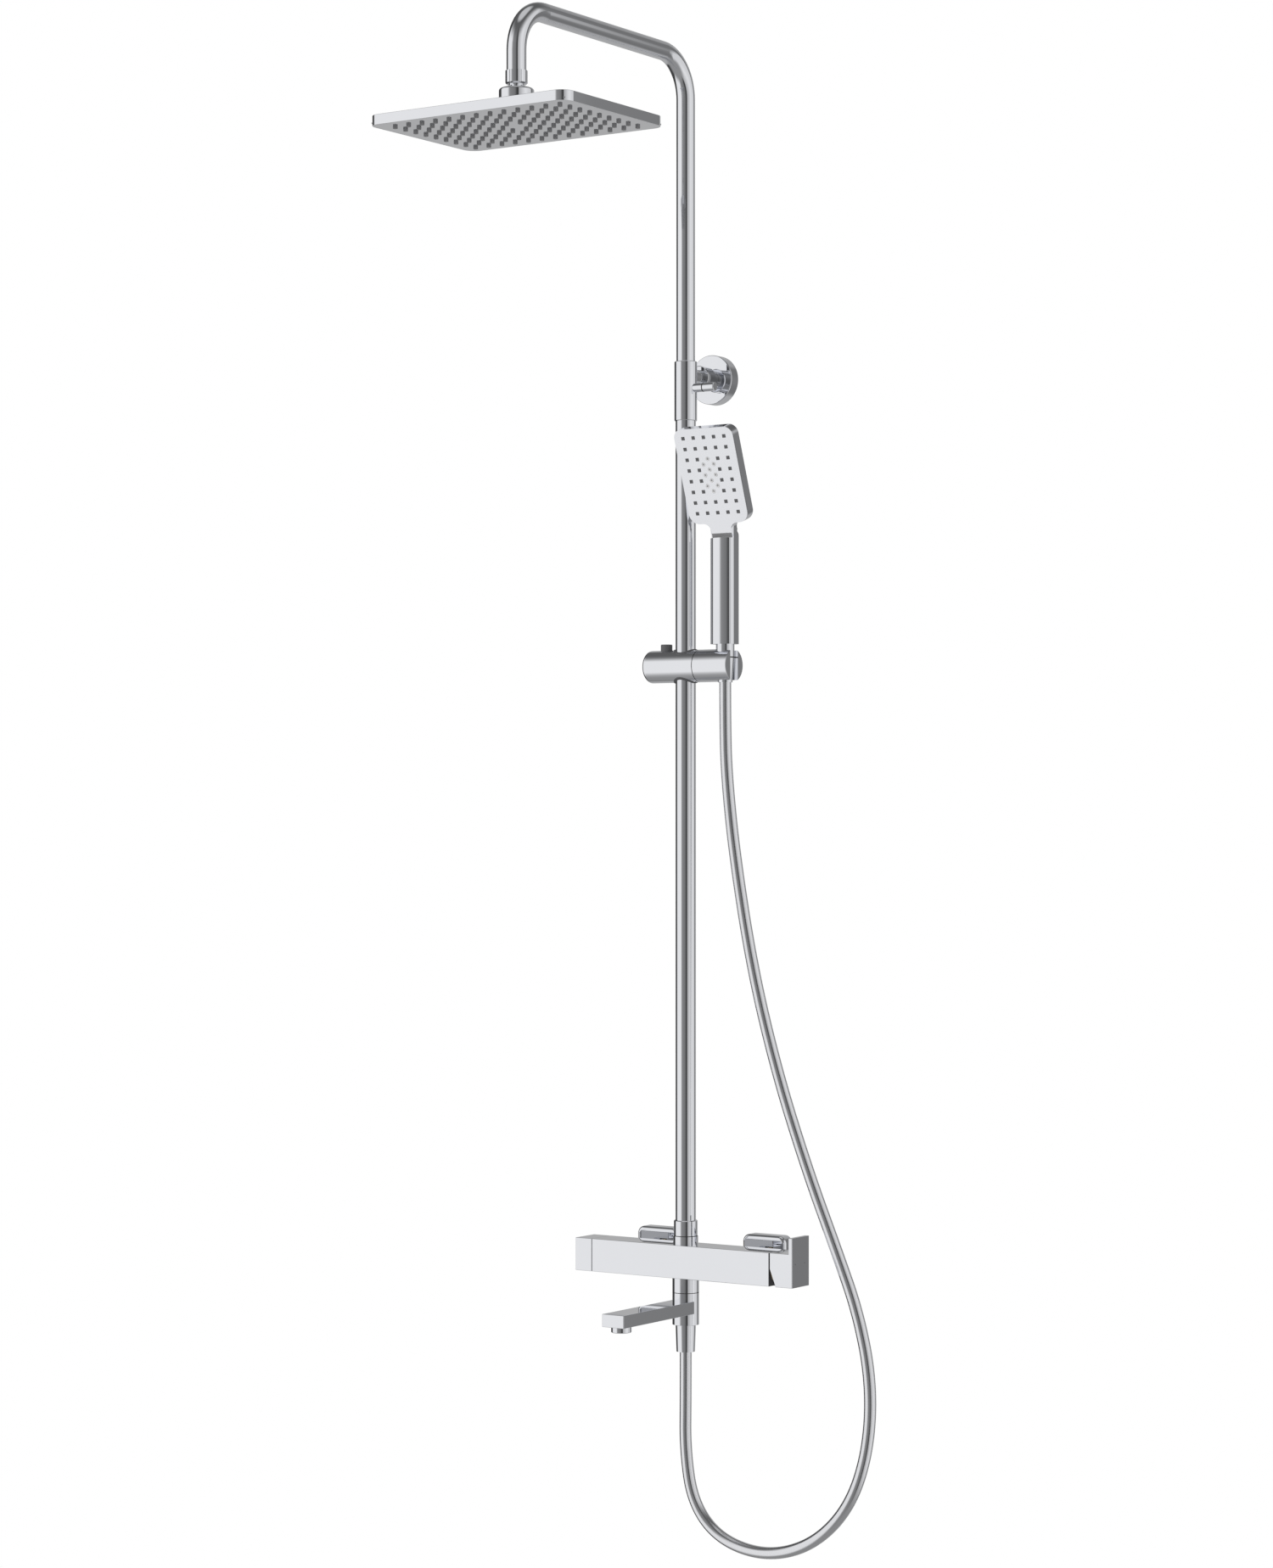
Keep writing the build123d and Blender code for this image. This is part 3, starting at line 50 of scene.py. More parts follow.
# Everything is in metres, in the frame of the solids: the origin lies between the inlets on the wall,
# +X is right, -Y comes out into the room and +Z is up.
column_x = 0.0
column_y = -0.069
handset_x = 0.0553

# Camera: level, and to the right of the column
view_turn = radians(34.1)
view_distance = 4.25
view_height = 0.5283
view_side = -0.058
view_lens = 82.8
view_sensor = 36.0
view_shift = 0.0179

# Rain head: its face looks down, and its square nozzles stand on a mat behind that face
head_y = -0.408
head_bottom = 1.283
head_face_thickness = 0.002
nozzle_pitch = 0.0185
nozzle_columns = 13
nozzle_rows = 9
nozzle_size = 0.0040
nozzle_proud = 0.0026
nozzle_mat_size = (0.2596, 0.1846, 0.0015)

# Hand shower: its face leans forward above the grip, with square nozzles round a group of jets
grip_top = 0.8484
spray_origin = (handset_x, -0.0765, 0.854)
spray_lean = radians(20.0)
spray_face_thickness = 0.0016
spray_pitch_x = 0.0141
spray_pitch_y = 0.01295
spray_columns = 5
spray_rows = 8
spray_middle = 0.0703
spray_peg = 0.0042
spray_peg_proud = 0.0006
spray_mat_size = (0.068, 0.098, 0.0014)

# One nozzle: its taper, rim and edge as shares of its width,
# and its hole as a share of how far it stands out
peg_taper = 0.97
peg_rim = 0.36
peg_edge = 0.06
peg_hole = 0.5

# One jet
jet_d = 0.005
jet_proud = 0.0004
jet_depth = 0.003
jet_rim = 0.0008
jet_bore_d = 0.0024
jet_bore_depth = 0.0015
jet_edge = 0.00015
jet_sides = 24

# Spring under the slider's button
button_x = -0.027
spring_foot = 0.6987
spring_length = 0.008
spring_d = 0.008
spring_wire = 0.001
spring_turns = 5
spring_steps = 32
wire_sides = 12

# Lever with its two marks, and the end of the bar beside it
bar_end_x = 0.1275
lever_face_x = 0.159
mark_r = 0.0008
mark_depth = 0.0004
mark_rim = 0.0002
mark_dish = 0.00003
mark_sunk = 0.00014
mark_sides = 24
mark_z = 0.0075
mark_front_y = column_y - 0.0123
mark_back_y = column_y + 0.0082

# Seam rings: dark rings put where two round pieces meet, as painted shade in the gap between them
seam_wall = 0.0007
seam_edge = 0.00012
seam_height = 0.00072
wide_seam_height = 0.0015
seam_sides = 64
outlet_seam_r = 0.0157
outlet_seam_z = -0.0372
riser_seam_r = 0.0139
riser_seam_z = 0.0294
grip_seam_r = 0.01095
grip_seam_z = 0.7094
lock_seam_r = 0.0053
lock_seam_x = 0.0254
lock_seam_z = 1.0272

# Hose: its route in the plane of the column, as the solids have it, in stretches that meet mid-run
hose_d = 0.014
hose_steps = 16
hose_roundness = 8
hose_route = {
    "hose_loop": [
        (0.0, -0.107),
        (0.0, -0.160),
        (-0.0008, -0.222),
        (0.010, -0.285),
        (0.048, -0.324),
        (0.112, -0.336),
        (0.175, -0.316),
        (0.224, -0.268),
        (0.249, -0.200),
        (0.253, -0.122),
        (0.236, -0.045),
        (0.207, 0.025),
    ],
    "hose_rise": [(0.170, 0.110), (0.128, 0.222), (0.093, 0.345)],
    "hose_bend": [(0.068, 0.480), (0.057, 0.575)],
    "hose_end": [(handset_x, 0.636), (handset_x, 0.680)],
}

# Chrome, how finishes vary, and the two places on the chrome painted dark as shade: the bar's end facing
# the lever, and the crevice where the spray face meets the grip
chrome_dark = (0.82, 0.83, 0.86)
chrome_light = (0.84, 0.85, 0.88)
chrome_polish = (0.015, 0.03)
smudge_scale = 18.0
smudge_detail = 4.0
grain_detail = 3.0
noise_low = 0.3
noise_high = 0.7
painted_shade_roughness = 0.45
# Painted shade: the bar's end, deep in the narrow gap beside the lever, is painted near black and matt
bar_end_shade_colour = (0.035, 0.035, 0.037)
bar_end_shade = {"X": (bar_end_x - 0.0002, bar_end_x + 0.01)}
# Painted shade: a dark matt band painted where the spray face meets the grip, for the shade in that
# crevice
groove_shade_colour = (0.24, 0.24, 0.245)
groove_half_width = 0.0138
groove_shade = {
    "X": (handset_x - groove_half_width, handset_x + groove_half_width),
    "Y": (-0.080, -0.0745),
    "Z": (grip_top + 0.0001, spray_origin[2]),
}

# Each finish that shines like metal: its darker and lighter tint, its smoothest and roughest polish,
# and the scale of its smudges
metals = {
    "chrome": (chrome_dark, chrome_light, chrome_polish, smudge_scale),
    "brass": ((0.70, 0.52, 0.24), (0.78, 0.60, 0.31), (0.22, 0.34), 60.0),
    "steel": ((0.52, 0.52, 0.53), (0.62, 0.62, 0.63), (0.18, 0.30), 90.0),
    "hose_silver": ((0.77, 0.775, 0.80), (0.81, 0.815, 0.84), (0.14, 0.18), 40.0),
    "face_plastic": ((0.81, 0.82, 0.85), (0.83, 0.84, 0.87), (0.10, 0.14), 25.0),
}

# Each plastic or rubber: its tints, its polish, and the scale and depth of its grain
plastics = {
    # seal_rubber also gives the seam rings their near-black painted shade
    "seal_rubber": ((0.02, 0.02, 0.02), (0.035, 0.035, 0.035), (0.5, 0.65), 900.0, 0.00001),
    "nozzle_rubber": ((0.085, 0.085, 0.088), (0.105, 0.105, 0.11), (0.5, 0.62), 1200.0, 0.00001),
    "rain_rubber": ((0.19, 0.19, 0.195), (0.23, 0.23, 0.235), (0.5, 0.62), 1200.0, 0.00001),
    "inner_plastic": ((0.60, 0.60, 0.58), (0.68, 0.68, 0.66), (0.35, 0.5), 500.0, 0.00002),
    "bush_plastic": ((0.07, 0.07, 0.074), (0.10, 0.10, 0.104), (0.35, 0.5), 700.0, 0.00002),
    "button_plastic": ((0.085, 0.085, 0.088), (0.105, 0.105, 0.11), (0.4, 0.55), 1500.0, 0.00003),
    "jet_plastic": ((0.58, 0.58, 0.585), (0.66, 0.66, 0.665), (0.3, 0.42), 800.0, 0.00001),
}

# Studio: brightness round the object, by degrees to the right of the camera,
# and the heights at which it changes
screen_bands = [
    (-180, 0.44),
    (-167, 0.44),
    (-160, 0.06),
    (-118, 0.055),
    (-109, 0.90),
    (-58, 0.90),
    (-44, 0.30),
    (-36, 0.26),
    (-9, 0.20),
    (0, 0.11),
    (6, 0.05),
    (14, 0.045),
    (19, 0.45),
    (32, 0.57),
    (46, 0.72),
    (64, 0.86),
    (88, 0.74),
    (106, 0.72),
    (111, 0.23),
    (116, 0.19),
    (126, 0.19),
    (138, 0.42),
    (180, 0.44),
]
ceiling_rise = (0.44, 0.85)
ceiling_level = 0.12
zenith_rise = (0.88, 0.97)
zenith_level = 0.60
ground_drop = (-sin(radians(30)), -sin(radians(60)))
ground_level = 0.30
fill_light = 0.75
floor_r = 2.6
floor_sides = 96
floor_place = (0, -0.3, -1.05)
floor_roughness = 0.8
floor_dark = (0.84, 0.84, 0.84)
floor_light = (0.88, 0.88, 0.88)
floor_mottle = 1.2


# Helpers for modelling by hand
sharp_angle = radians(35)
upward = 0.9


def deselect_all():
    bpy.ops.object.select_all(action="DESELECT")


def take(obj):
    """Makes obj the one selected and active object."""
    deselect_all()
    obj.select_set(True)
    bpy.context.view_layer.objects.active = obj


def named(name):
    """The object that an operator just added, under its own name."""
    obj = bpy.context.object
    obj.name = name
    obj.data.name = name
    return obj


def edit_faces(obj, wanted):
    """Opens edit mode with only the wanted faces selected."""
    take(obj)
    bpy.ops.object.mode_set(mode="EDIT")
    bpy.ops.mesh.select_mode(type="FACE")
    bpy.ops.mesh.select_all(action="DESELECT")
    bpy.ops.object.mode_set(mode="OBJECT")
    for face in obj.data.polygons:
        face.select = wanted(face)
    bpy.ops.object.mode_set(mode="EDIT")


def looks_up(face):
    return face.normal.z > upward


def apply_modifiers(obj):
    take(obj)
    for modifier in list(obj.modifiers):
        bpy.ops.object.modifier_apply(modifier=modifier.name)


def bevel_edges(obj, width, segments=2):
    take(obj)
    bpy.ops.object.modifier_add(type="BEVEL")
    bevel = obj.modifiers[-1]
    bevel.width = width
    bevel.segments = segments
    bevel.limit_method = "ANGLE"
    bevel.angle_limit = sharp_angle
    apply_modifiers(obj)


def smooth(obj):
    take(obj)
    bpy.ops.object.shade_smooth_by_angle(angle=sharp_angle)


def repeat(obj, count, offset):
    """Repeats obj evenly about its own place."""
    take(obj)
    bpy.ops.object.modifier_add(type="ARRAY")
    array = obj.modifiers[-1]
    array.use_relative_offset = False
    array.use_constant_offset = True
    array.constant_offset_displace = offset
    array.count = count
    apply_modifiers(obj)
    obj.location = -(count - 1) / 2 * Vector(offset)
    bpy.ops.object.transform_apply(location=True, rotation=False, scale=False)


def clear_middle(obj, half_x, half_y):
    """Takes out what stands in a rectangle about the middle."""
    take(obj)
    bpy.ops.object.mode_set(mode="EDIT")
    bpy.ops.mesh.select_mode(type="VERT")
    bpy.ops.mesh.select_all(action="DESELECT")
    bpy.ops.object.mode_set(mode="OBJECT")
    for vertex in obj.data.vertices:
        vertex.select = abs(vertex.co.x) < half_x and abs(vertex.co.y) < half_y
    bpy.ops.object.mode_set(mode="EDIT")
    bpy.ops.mesh.delete(type="VERT")
    bpy.ops.object.mode_set(mode="OBJECT")


def join_into(obj, others):
    take(obj)
    for other in others:
        other.select_set(True)
    bpy.ops.object.join()
    return bpy.context.object


def settle(obj, place):
    """Moves obj from its own frame to its place and leaves it unturned at the origin."""
    take(obj)
    obj.matrix_world = place
    bpy.ops.object.transform_apply(location=True, rotation=True, scale=True)


# Helpers for node trees
def feed(tree, socket, value):
    """Sets a socket to a number, or links another socket to it."""
    if isinstance(value, (int, float)):
        socket.default_value = value
    else:
        tree.links.new(value, socket)


def maths(tree, kind, *values):
    node = tree.nodes.new("ShaderNodeMath")
    node.operation = kind
    for socket, value in zip(node.inputs, values):
        feed(tree, socket, value)
    return node.outputs[0]


def mix(tree, factor, first, second):
    """Mixes two numbers."""
    node = tree.nodes.new("ShaderNodeMix")
    tree.links.new(factor, node.inputs[0])
    feed(tree, node.inputs[2], first)
    feed(tree, node.inputs[3], second)
    return node.outputs[0]


def mix_colours(tree, factor, first, second):
    """Mixes two colours, each given as a tuple or as a socket."""
    node = tree.nodes.new("ShaderNodeMix")
    node.data_type = "RGBA"
    tree.links.new(factor, node.inputs[0])
    for socket, colour in ((node.inputs[6], first), (node.inputs[7], second)):
        if isinstance(colour, tuple):
            socket.default_value = (*colour, 1.0)
        else:
            tree.links.new(colour, socket)
    return node.outputs[2]


def smooth_step(tree, value, low, high):
    node = tree.nodes.new("ShaderNodeMapRange")
    node.interpolation_type = "SMOOTHSTEP"
    node.inputs["From Min"].default_value = low
    node.inputs["From Max"].default_value = high
    tree.links.new(value, node.inputs["Value"])
    return node.outputs["Result"]


def spread(tree, value, low, high):
    """Maps a texture's middle range to a range of the finish."""
    node = tree.nodes.new("ShaderNodeMapRange")
    node.inputs["From Min"].default_value = noise_low
    node.inputs["From Max"].default_value = noise_high
    node.inputs["To Min"].default_value = low
    node.inputs["To Max"].default_value = high
    tree.links.new(value, node.inputs["Value"])
    return node.outputs["Result"]


def noise(tree, place, scale, detail=2.0):
    grain = tree.nodes.new("ShaderNodeTexNoise")
    grain.inputs["Scale"].default_value = scale
    grain.inputs["Detail"].default_value = detail
    tree.links.new(place, grain.inputs["Vector"])
    return grain.outputs["Fac"]


def relief(tree, value, depth, shader):
    """A fine bump of the given depth in metres."""
    bump = tree.nodes.new("ShaderNodeBump")
    bump.inputs["Distance"].default_value = depth
    bump.inputs["Strength"].default_value = 1.0
    tree.links.new(value, bump.inputs["Height"])
    tree.links.new(bump.outputs["Normal"], shader.inputs["Normal"])


# Finishes
def new_finish(name):
    """A material with its shader and the object's own coordinates."""
    finish = bpy.data.materials.new(name)
    finish.use_nodes = True
    tree = finish.node_tree
    shader = tree.nodes["Principled BSDF"]
    place = tree.nodes.new("ShaderNodeTexCoord")
    return finish, tree, shader, place.outputs["Object"]


def metal(name, dark, light, polish, scale):
    """A metal whose polish varies a little, as handling and water leave it."""
    finish, tree, shader, place = new_finish(name)
    shader.inputs["Metallic"].default_value = 1.0
    smudge = noise(tree, place, scale, smudge_detail)
    tree.links.new(mix_colours(tree, smudge, dark, light), shader.inputs["Base Color"])
    tree.links.new(spread(tree, smudge, *polish), shader.inputs["Roughness"])
    return finish


def plastic(name, dark, light, polish, scale, depth):
    """A moulded plastic or rubber with a fine grain."""
    finish, tree, shader, place = new_finish(name)
    grain = noise(tree, place, scale, grain_detail)
    tree.links.new(mix_colours(tree, grain, dark, light), shader.inputs["Base Color"])
    tree.links.new(spread(tree, grain, *polish), shader.inputs["Roughness"])
    relief(tree, grain, depth, shader)
    return finish


def chrome_with_painted_shade(name, dark, limits):
    """Chrome with one patch of painted shade, dark and satin, inside the given limits along the axes."""
    finish, tree, shader, place = new_finish(name)
    smudge = noise(tree, place, smudge_scale, smudge_detail)
    split = tree.nodes.new("ShaderNodeSeparateXYZ")
    tree.links.new(place, split.inputs[0])
    painted_shade = 1.0
    for axis, (low, high) in limits.items():
        within = maths(tree, "COMPARE", split.outputs[axis], (low + high) / 2, (high - low) / 2)
        painted_shade = maths(tree, "MULTIPLY", painted_shade, within)
    bright = mix_colours(tree, smudge, chrome_dark, chrome_light)
    polish = spread(tree, smudge, *chrome_polish)
    # Inside the painted shade the chrome turns dark, matt and not metallic
    roughness = maths(tree, "MULTIPLY_ADD", painted_shade, painted_shade_roughness, polish)
    tree.links.new(mix_colours(tree, painted_shade, bright, dark), shader.inputs["Base Color"])
    tree.links.new(maths(tree, "SUBTRACT", 1.0, painted_shade), shader.inputs["Metallic"])
    tree.links.new(roughness, shader.inputs["Roughness"])
    return finish


def paint(obj, finish):
    obj.data.materials.clear()
    obj.data.materials.append(finish)


def finish_piece(obj, finish, body):
    paint(obj, finish)
    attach(obj, body)


finishes = {name: metal(name, *look) for name, look in metals.items()}
finishes.update({name: plastic(name, *look) for name, look in plastics.items()})
for part in frame["record"]["subparts"]:
    paint(frame["nodes"][part["node"]], finishes[part["material_slot"]])
# Painted shade: the bar's end is painted dark where it faces the lever, and so is the groove between the
# spray face and the grip
paint(frame["nodes"]["mixer_body"], chrome_with_painted_shade("bar_chrome_painted_shade", bar_end_shade_colour, bar_end_shade))
paint(frame["nodes"]["handset_body"], chrome_with_painted_shade("grip_chrome_painted_shade", groove_shade_colour, groove_shade))


# Hose: one smooth line through the route, cut into stretches
def hose_points():
    """Points along the hose's line, read from its spline."""
    curve = bpy.data.curves.new("hose_line", "CURVE")
    curve.dimensions = "3D"
    corners = [corner for stretch in hose_route.values() for corner in stretch]
    spline = curve.splines.new("NURBS")
    spline.points.add(len(corners) - 1)
    for point, (x, z) in zip(spline.points, corners):
        point.co = (x, column_y, z, 1.0)
    spline.order_u = 3
    spline.use_endpoint_u = True
    spline.resolution_u = hose_steps
    line = bpy.data.objects.new("hose_line", curve)
    scene.collection.objects.link(line)
    bpy.context.view_layer.update()
    evaluated = line.evaluated_get(bpy.context.evaluated_depsgraph_get())
    mesh = bpy.data.meshes.new_from_object(evaluated)
    points = [vertex.co.copy() for vertex in mesh.vertices]
    bpy.data.meshes.remove(mesh)
    bpy.data.objects.remove(line)
    return points


def hose_paths():
    """The line's points by stretch, cut midway between two stretches and at the loop's lowest point."""
    points = hose_points()
    names = list(hose_route)
    cuts = [0]
    for before, after in zip(names, names[1:]):
        (x0, z0), (x1, z1) = hose_route[before][-1], hose_route[after][0]
        middle = Vector(((x0 + x1) / 2, column_y, (z0 + z1) / 2))
        cuts.append(min(range(len(points)), key=lambda i: (points[i] - middle).length))
    cuts.append(len(points) - 1)
    paths = {name: points[a : b + 1] for name, a, b in zip(names, cuts, cuts[1:])}
    loop = paths["hose_loop"]
    foot = min(range(len(loop)), key=lambda i: loop[i].z)
    paths["hose_drop"] = loop[: foot + 1]
    paths["hose_loop"] = loop[foot:]
    return paths


def hose_tube(name, points):
    """A round tube along some of the hose's points."""
    curve = bpy.data.curves.new(name, "CURVE")
    curve.dimensions = "3D"
    spline = curve.splines.new("POLY")
    spline.points.add(len(points) - 1)
    for point, place in zip(spline.points, points):
        point.co = (*place, 1.0)
    curve.bevel_depth = hose_d / 2
    curve.bevel_resolution = hose_roundness
    tube = bpy.data.objects.new(name + "_tube", curve)
    scene.collection.objects.link(tube)
    take(tube)
    bpy.ops.object.convert(target="MESH")
    bpy.ops.object.shade_smooth()
    tube = bpy.context.object
    paint(tube, finishes["hose_silver"])
    return tube


def make_hose():
    """The hose in stretches: the loop moves whole with the slider's sleeve, and the other stretches stay
    where they lie.
    """
    paths = hose_paths()
    tubes = {name: hose_tube(name, path) for name, path in paths.items()}
    for name in hose_route:
        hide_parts(name)
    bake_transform(tubes["hose_drop"])
    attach(tubes["hose_loop"], "slider_sleeve")
    follows = {
        "hose_rise": ("slider_sleeve", "slider"),
        "hose_bend": ("slider", "holder"),
        "hose_end": ("holder", "handset"),
    }
    for name, bodies in follows.items():
        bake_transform(tubes[name])


# Nozzles, jets, spring, seam rings and lever marks
head_place = Matrix.Translation((column_x, head_y, head_bottom)) @ Matrix.Rotation(pi, 4, "X")
spray_face = Matrix.Translation(spray_origin) @ Matrix.Rotation(pi / 2 + spray_lean, 4, "X")
spray_place = spray_face @ Matrix.Translation((0, spray_middle, 0))
upright = Matrix.Identity(4)
sideways = Matrix.Rotation(pi / 2, 4, "Y")


def make_mat(name, size, top):
    """The thin mat that the nozzles stand on, under the given level."""
    deselect_all()
    bpy.ops.mesh.primitive_cube_add(size=1.0, location=(0, 0, top - size[2] / 2))
    mat = named(name)
    mat.scale = size
    bpy.ops.object.transform_apply(location=True, rotation=False, scale=True)
    return mat


def make_peg(name, size, proud, depth):
    """A soft square nozzle through a face of the given depth, tapered, with a small hole in its end."""
    deselect_all()
    bpy.ops.mesh.primitive_cube_add(size=1.0, location=(0, 0, (proud - depth) / 2))
    peg = named(name)
    peg.scale = (size, size, proud + depth)
    bpy.ops.object.transform_apply(location=True, rotation=False, scale=True)
    edit_faces(peg, looks_up)
    bpy.ops.transform.resize(value=(peg_taper, peg_taper, 1.0))
    bpy.ops.mesh.inset(thickness=peg_rim * size)
    bpy.ops.mesh.extrude_region_move(TRANSFORM_OT_translate={"value": (0, 0, -peg_hole * proud)})
    bpy.ops.object.mode_set(mode="OBJECT")
    bevel_edges(peg, peg_edge * size, segments=1)
    return peg


def make_head_nozzles():
    pegs = make_peg("rain_nozzles", nozzle_size, nozzle_proud, head_face_thickness)
    repeat(pegs, nozzle_columns, (nozzle_pitch, 0, 0))
    repeat(pegs, nozzle_rows, (0, nozzle_pitch, 0))
    clear_middle(pegs, nozzle_pitch / 2, nozzle_pitch / 2)
    pegs = join_into(pegs, [make_mat("nozzle_mat", nozzle_mat_size, -head_face_thickness)])
    smooth(pegs)
    settle(pegs, head_place)
    finish_piece(pegs, finishes["rain_rubber"], "rain_head")
    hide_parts("head_nozzles")


def make_spray_nozzles():
    pegs = make_peg("spray_nozzles", spray_peg, spray_peg_proud, spray_face_thickness)
    repeat(pegs, spray_columns, (spray_pitch_x, 0, 0))
    repeat(pegs, spray_rows, (0, spray_pitch_y, 0))
    clear_middle(pegs, spray_pitch_x / 2, 2 * spray_pitch_y)
    pegs = join_into(pegs, [make_mat("spray_mat", spray_mat_size, -spray_face_thickness)])
    smooth(pegs)
    settle(pegs, spray_place)
    finish_piece(pegs, finishes["nozzle_rubber"], "handset")
    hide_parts("handset_nozzles")


def make_jet():
    """A round jet with a dished end and a bore."""
    deselect_all()
    bpy.ops.mesh.primitive_cylinder_add(
        vertices=jet_sides, radius=jet_d / 2, depth=jet_depth, location=(0, 0, jet_proud - jet_depth / 2)
    )
    jet = named("spray_jets")
    bpy.ops.object.transform_apply(location=True, rotation=False, scale=False)
    edit_faces(jet, looks_up)
    bpy.ops.mesh.inset(thickness=jet_rim)
    bpy.ops.mesh.extrude_region_move(TRANSFORM_OT_translate={"value": (0, 0, -jet_proud)})
    bpy.ops.mesh.inset(thickness=jet_d / 2 - jet_rim - jet_bore_d / 2)
    bpy.ops.mesh.extrude_region_move(TRANSFORM_OT_translate={"value": (0, 0, -jet_bore_depth)})
    bpy.ops.object.mode_set(mode="OBJECT")
    bevel_edges(jet, jet_edge)
    return jet


def make_spray_jets():
    """Ten jets, four up the middle and three pairs between them."""
    jet = make_jet()
    places = [(0.0, row) for row in (-1.5, -0.5, 0.5, 1.5)]
    places += [(side, row) for row in (-1, 0, 1) for side in (-0.5, 0.5)]
    copies = []
    for column, row in places:
        take(jet)
        bpy.ops.object.duplicate(linked=False)
        copy = bpy.context.object
        copy.location = (column * spray_pitch_x, row * spray_pitch_y, 0)
        bpy.ops.object.transform_apply(location=True, rotation=False, scale=False)
        copies.append(copy)
    bpy.data.objects.remove(jet)
    jets = join_into(copies[0], copies[1:])
    jets.name = "spray_jets"
    smooth(jets)
    settle(jets, spray_place)
    finish_piece(jets, finishes["jet_plastic"], "handset")
    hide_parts("handset_jets")


def make_spring():
    """The button's coil spring: a ring of wire, screwed up its length."""
    deselect_all()
    wire_r = spring_wire / 2
    bpy.ops.mesh.primitive_circle_add(vertices=wire_sides, radius=wire_r, rotation=(pi / 2, 0, 0))
    spring = named("coil_spring")
    spring.location = (spring_d / 2 - wire_r, 0, wire_r)
    bpy.ops.object.transform_apply(location=True, rotation=True, scale=False)
    bpy.ops.object.modifier_add(type="SCREW")
    screw = spring.modifiers[-1]
    screw.axis = "Z"
    screw.screw_offset = (spring_length - spring_wire) / spring_turns
    screw.iterations = spring_turns
    screw.steps = spring_steps
    screw.render_steps = spring_steps
    apply_modifiers(spring)
    smooth(spring)
    foot = Vector((button_x, column_y, spring_foot))
    settle(spring, Matrix.Translation(foot))
    paint(spring, finishes["steel"])
    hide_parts("button_spring")
    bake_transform(spring)


def make_seam_ring(name, radius, height, place, turn, body):
    """A thin dark ring in the groove where two round pieces meet, as painted shade for that gap."""
    deselect_all()
    bpy.ops.mesh.primitive_circle_add(vertices=seam_sides, radius=radius, location=(0, 0, -height / 2))
    ring = named(name)
    bpy.ops.object.transform_apply(location=True, rotation=False, scale=False)
    bpy.ops.object.mode_set(mode="EDIT")
    bpy.ops.mesh.select_mode(type="EDGE")
    bpy.ops.mesh.select_all(action="SELECT")
    bpy.ops.mesh.extrude_region_move(TRANSFORM_OT_translate={"value": (0, 0, height)})
    bpy.ops.mesh.select_all(action="SELECT")
    bpy.ops.mesh.normals_make_consistent(inside=False)
    bpy.ops.object.mode_set(mode="OBJECT")
    bpy.ops.object.modifier_add(type="SOLIDIFY")
    wall = ring.modifiers[-1]
    wall.thickness = seam_wall
    wall.offset = -1.0
    apply_modifiers(ring)
    bevel_edges(ring, seam_edge)
    smooth(ring)
    settle(ring, Matrix.Translation(place) @ turn)
    # Painted shade: the ring's near-black finish stands for the shade in the seam's gap
    finish_piece(ring, finishes["seal_rubber"], body)


def make_seam_rings():
    outlet = (column_x, column_y, outlet_seam_z)
    riser = (column_x, column_y, riser_seam_z)
    grip = (handset_x, column_y, grip_seam_z)
    lock = (lock_seam_x, column_y, lock_seam_z)
    make_seam_ring("outlet_seam", outlet_seam_r, seam_height, outlet, upright, "column")
    make_seam_ring("riser_seam", riser_seam_r, seam_height, riser, upright, "column")
    make_seam_ring("grip_seam", grip_seam_r, wide_seam_height, grip, upright, "handset")
    make_seam_ring("lock_seam", lock_seam_r, wide_seam_height, lock, sideways, "column")


def make_lever_mark(name, y):
    """A small dished dot on the lever's end, one for hot and one for cold."""
    deselect_all()
    bpy.ops.mesh.primitive_cylinder_add(vertices=mark_sides, radius=mark_r, depth=mark_depth)
    mark = named(name)
    edit_faces(mark, looks_up)
    bpy.ops.mesh.inset(thickness=mark_rim)
    bpy.ops.transform.translate(value=(0, 0, -mark_dish))
    bpy.ops.object.mode_set(mode="OBJECT")
    settle(mark, Matrix.Translation((lever_face_x - mark_sunk, y, mark_z)) @ sideways)
    finish_piece(mark, finishes["button_plastic"], "lever")


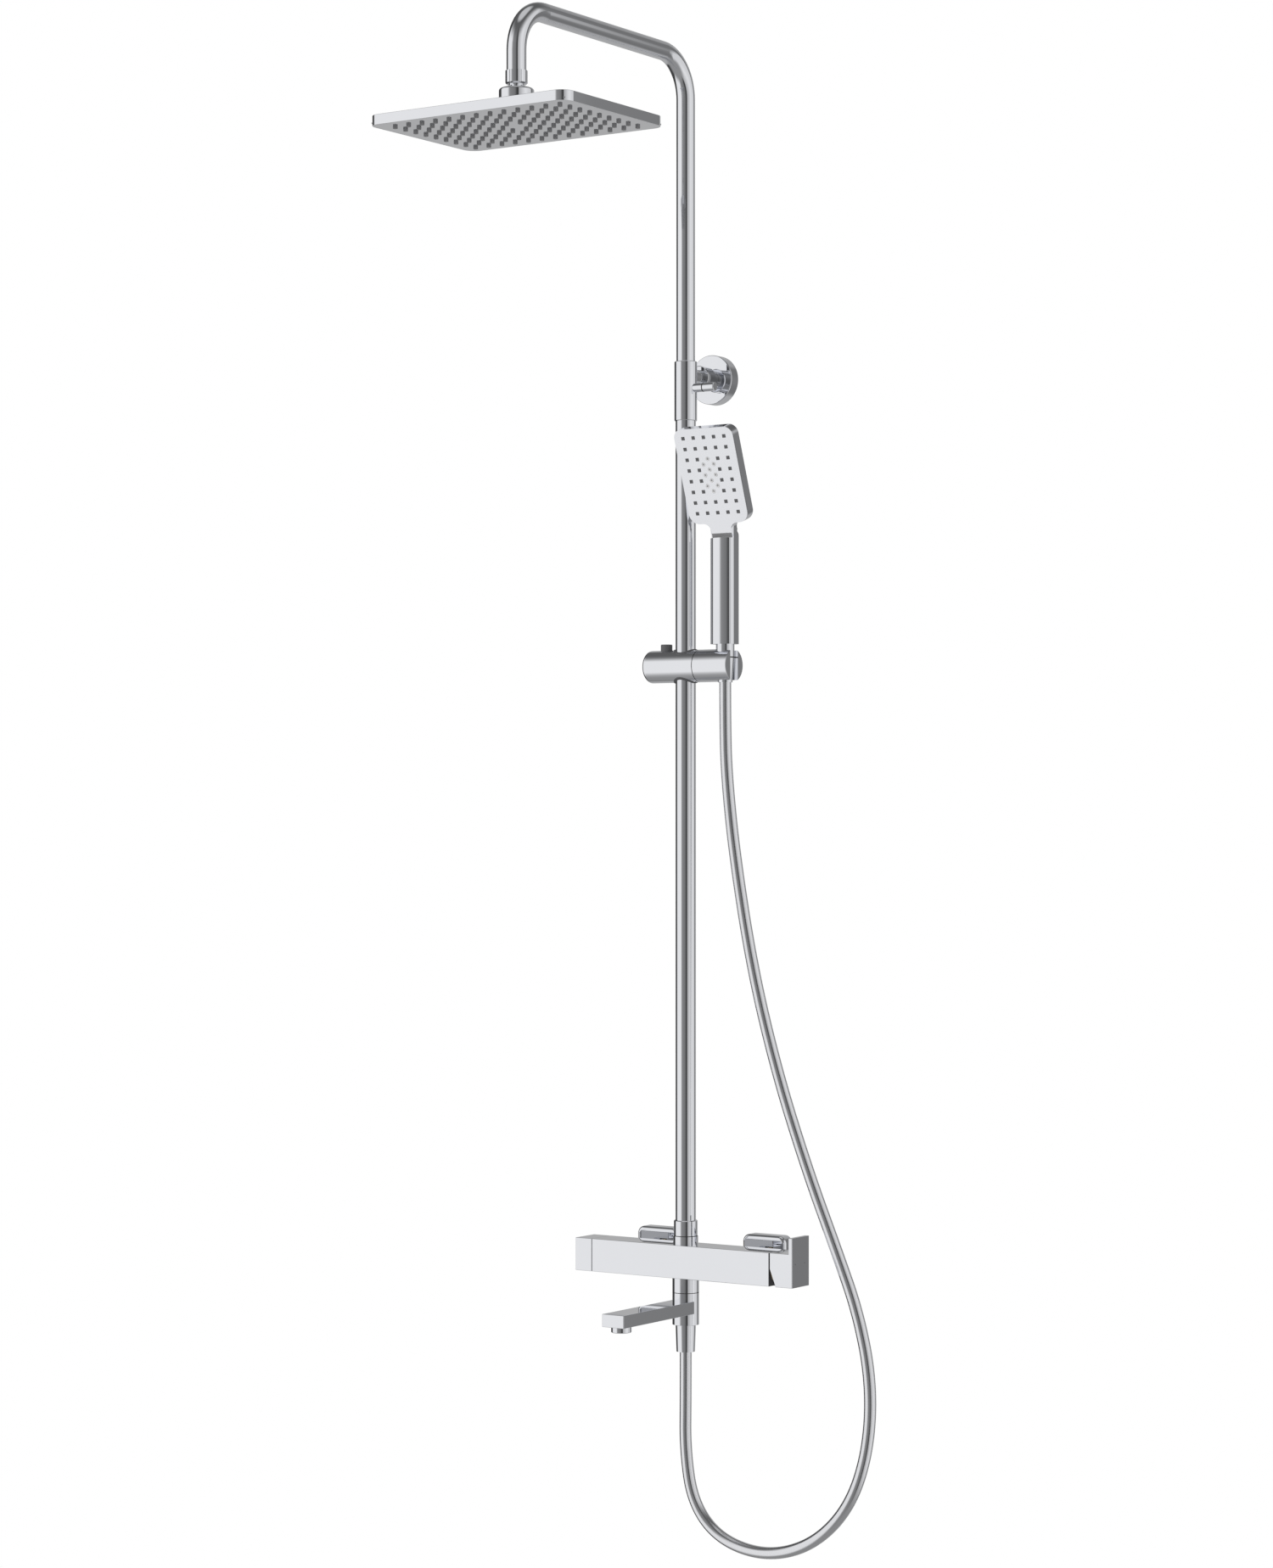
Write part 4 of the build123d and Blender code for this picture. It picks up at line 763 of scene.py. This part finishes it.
# Studio
def make_world():
    """A world that is white behind the object, with pale and dark screens that only polish shows."""
    world = bpy.data.worlds.new("studio")
    scene.world = world
    world.use_nodes = True
    tree = world.node_tree
    tree.nodes.clear()
    direction = tree.nodes.new("ShaderNodeTexCoord")
    split = tree.nodes.new("ShaderNodeSeparateXYZ")
    tree.links.new(direction.outputs["Generated"], split.inputs[0])
    x, y, z = split.outputs
    azimuth = maths(tree, "ARCTAN2", x, maths(tree, "MULTIPLY", y, -1.0))
    turned = maths(tree, "WRAP", maths(tree, "SUBTRACT", azimuth, view_turn), pi, -pi)
    share = maths(tree, "DIVIDE", maths(tree, "ADD", turned, pi), 2 * pi)

    screens = tree.nodes.new("ShaderNodeValToRGB")
    ramp = screens.color_ramp
    while len(ramp.elements) < len(screen_bands):
        ramp.elements.new(0.5)
    for element, (degrees, level) in zip(ramp.elements, screen_bands):
        element.position = (degrees + 180) / 360
        element.color = (level, level, level, 1.0)
    tree.links.new(share, screens.inputs["Fac"])

    shown = mix(tree, smooth_step(tree, z, *ceiling_rise), screens.outputs["Color"], ceiling_level)
    shown = mix(tree, smooth_step(tree, z, *zenith_rise), shown, zenith_level)
    shown = mix(tree, smooth_step(tree, z, *ground_drop), shown, ground_level)
    rays = tree.nodes.new("ShaderNodeLightPath")
    light = mix(tree, rays.outputs["Is Glossy Ray"], fill_light, shown)
    light = mix(tree, rays.outputs["Is Camera Ray"], light, 1.0)
    background = tree.nodes.new("ShaderNodeBackground")
    background.inputs["Color"].default_value = (1.0, 1.0, 1.0, 1.0)
    output = tree.nodes.new("ShaderNodeOutputWorld")
    tree.links.new(light, background.inputs["Strength"])
    tree.links.new(background.outputs[0], output.inputs["Surface"])


def make_floor():
    """A pale round floor, as far below the mixer as in a bathroom."""
    deselect_all()
    bpy.ops.mesh.primitive_circle_add(
        vertices=floor_sides, radius=floor_r, fill_type="NGON", location=floor_place
    )
    floor = named("floor")
    finish, tree, shader, place = new_finish("pale_floor")
    shader.inputs["Roughness"].default_value = floor_roughness
    mottle = noise(tree, place, floor_mottle)
    tree.links.new(mix_colours(tree, mottle, floor_dark, floor_light), shader.inputs["Base Color"])
    paint(floor, finish)
    floor.visible_glossy = False


def make_lamp(name, place, aim, size, power):
    """A round soft lamp that polish doesn't show."""
    data = bpy.data.lights.new(name, "AREA")
    data.shape = "DISK"
    data.size = size
    data.energy = power
    lamp = bpy.data.objects.new(name, data)
    lamp.location = place
    lamp.rotation_euler = (Vector(aim) - Vector(place)).to_track_quat("-Z", "Y").to_euler()
    lamp.visible_glossy = False
    scene.collection.objects.link(lamp)


def make_camera():
    data = bpy.data.cameras.new("camera")
    data.lens = view_lens
    data.sensor_width = view_sensor
    data.shift_y = view_shift
    camera = bpy.data.objects.new("camera", data)
    camera.location = (
        view_distance * sin(view_turn) + view_side * cos(view_turn),
        column_y - view_distance * cos(view_turn) + view_side * sin(view_turn),
        view_height,
    )
    camera.rotation_euler = (pi / 2, 0.0, view_turn)
    scene.collection.objects.link(camera)
    scene.camera = camera


make_hose()
make_head_nozzles()
make_spray_nozzles()
make_spray_jets()
make_spring()
make_seam_rings()
make_lever_mark("mark_front", mark_front_y)
make_lever_mark("mark_back", mark_back_y)
make_world()
make_floor()
make_lamp("key", place=(-2.2, -2.6, 2.8), aim=(0, -0.2, 0.6), size=1.6, power=60.0)
make_lamp("side", place=(2.8, -1.6, 1.8), aim=(0, -0.2, 0.5), size=1.4, power=25.0)
make_camera()
scene.view_settings.view_transform = "Standard"
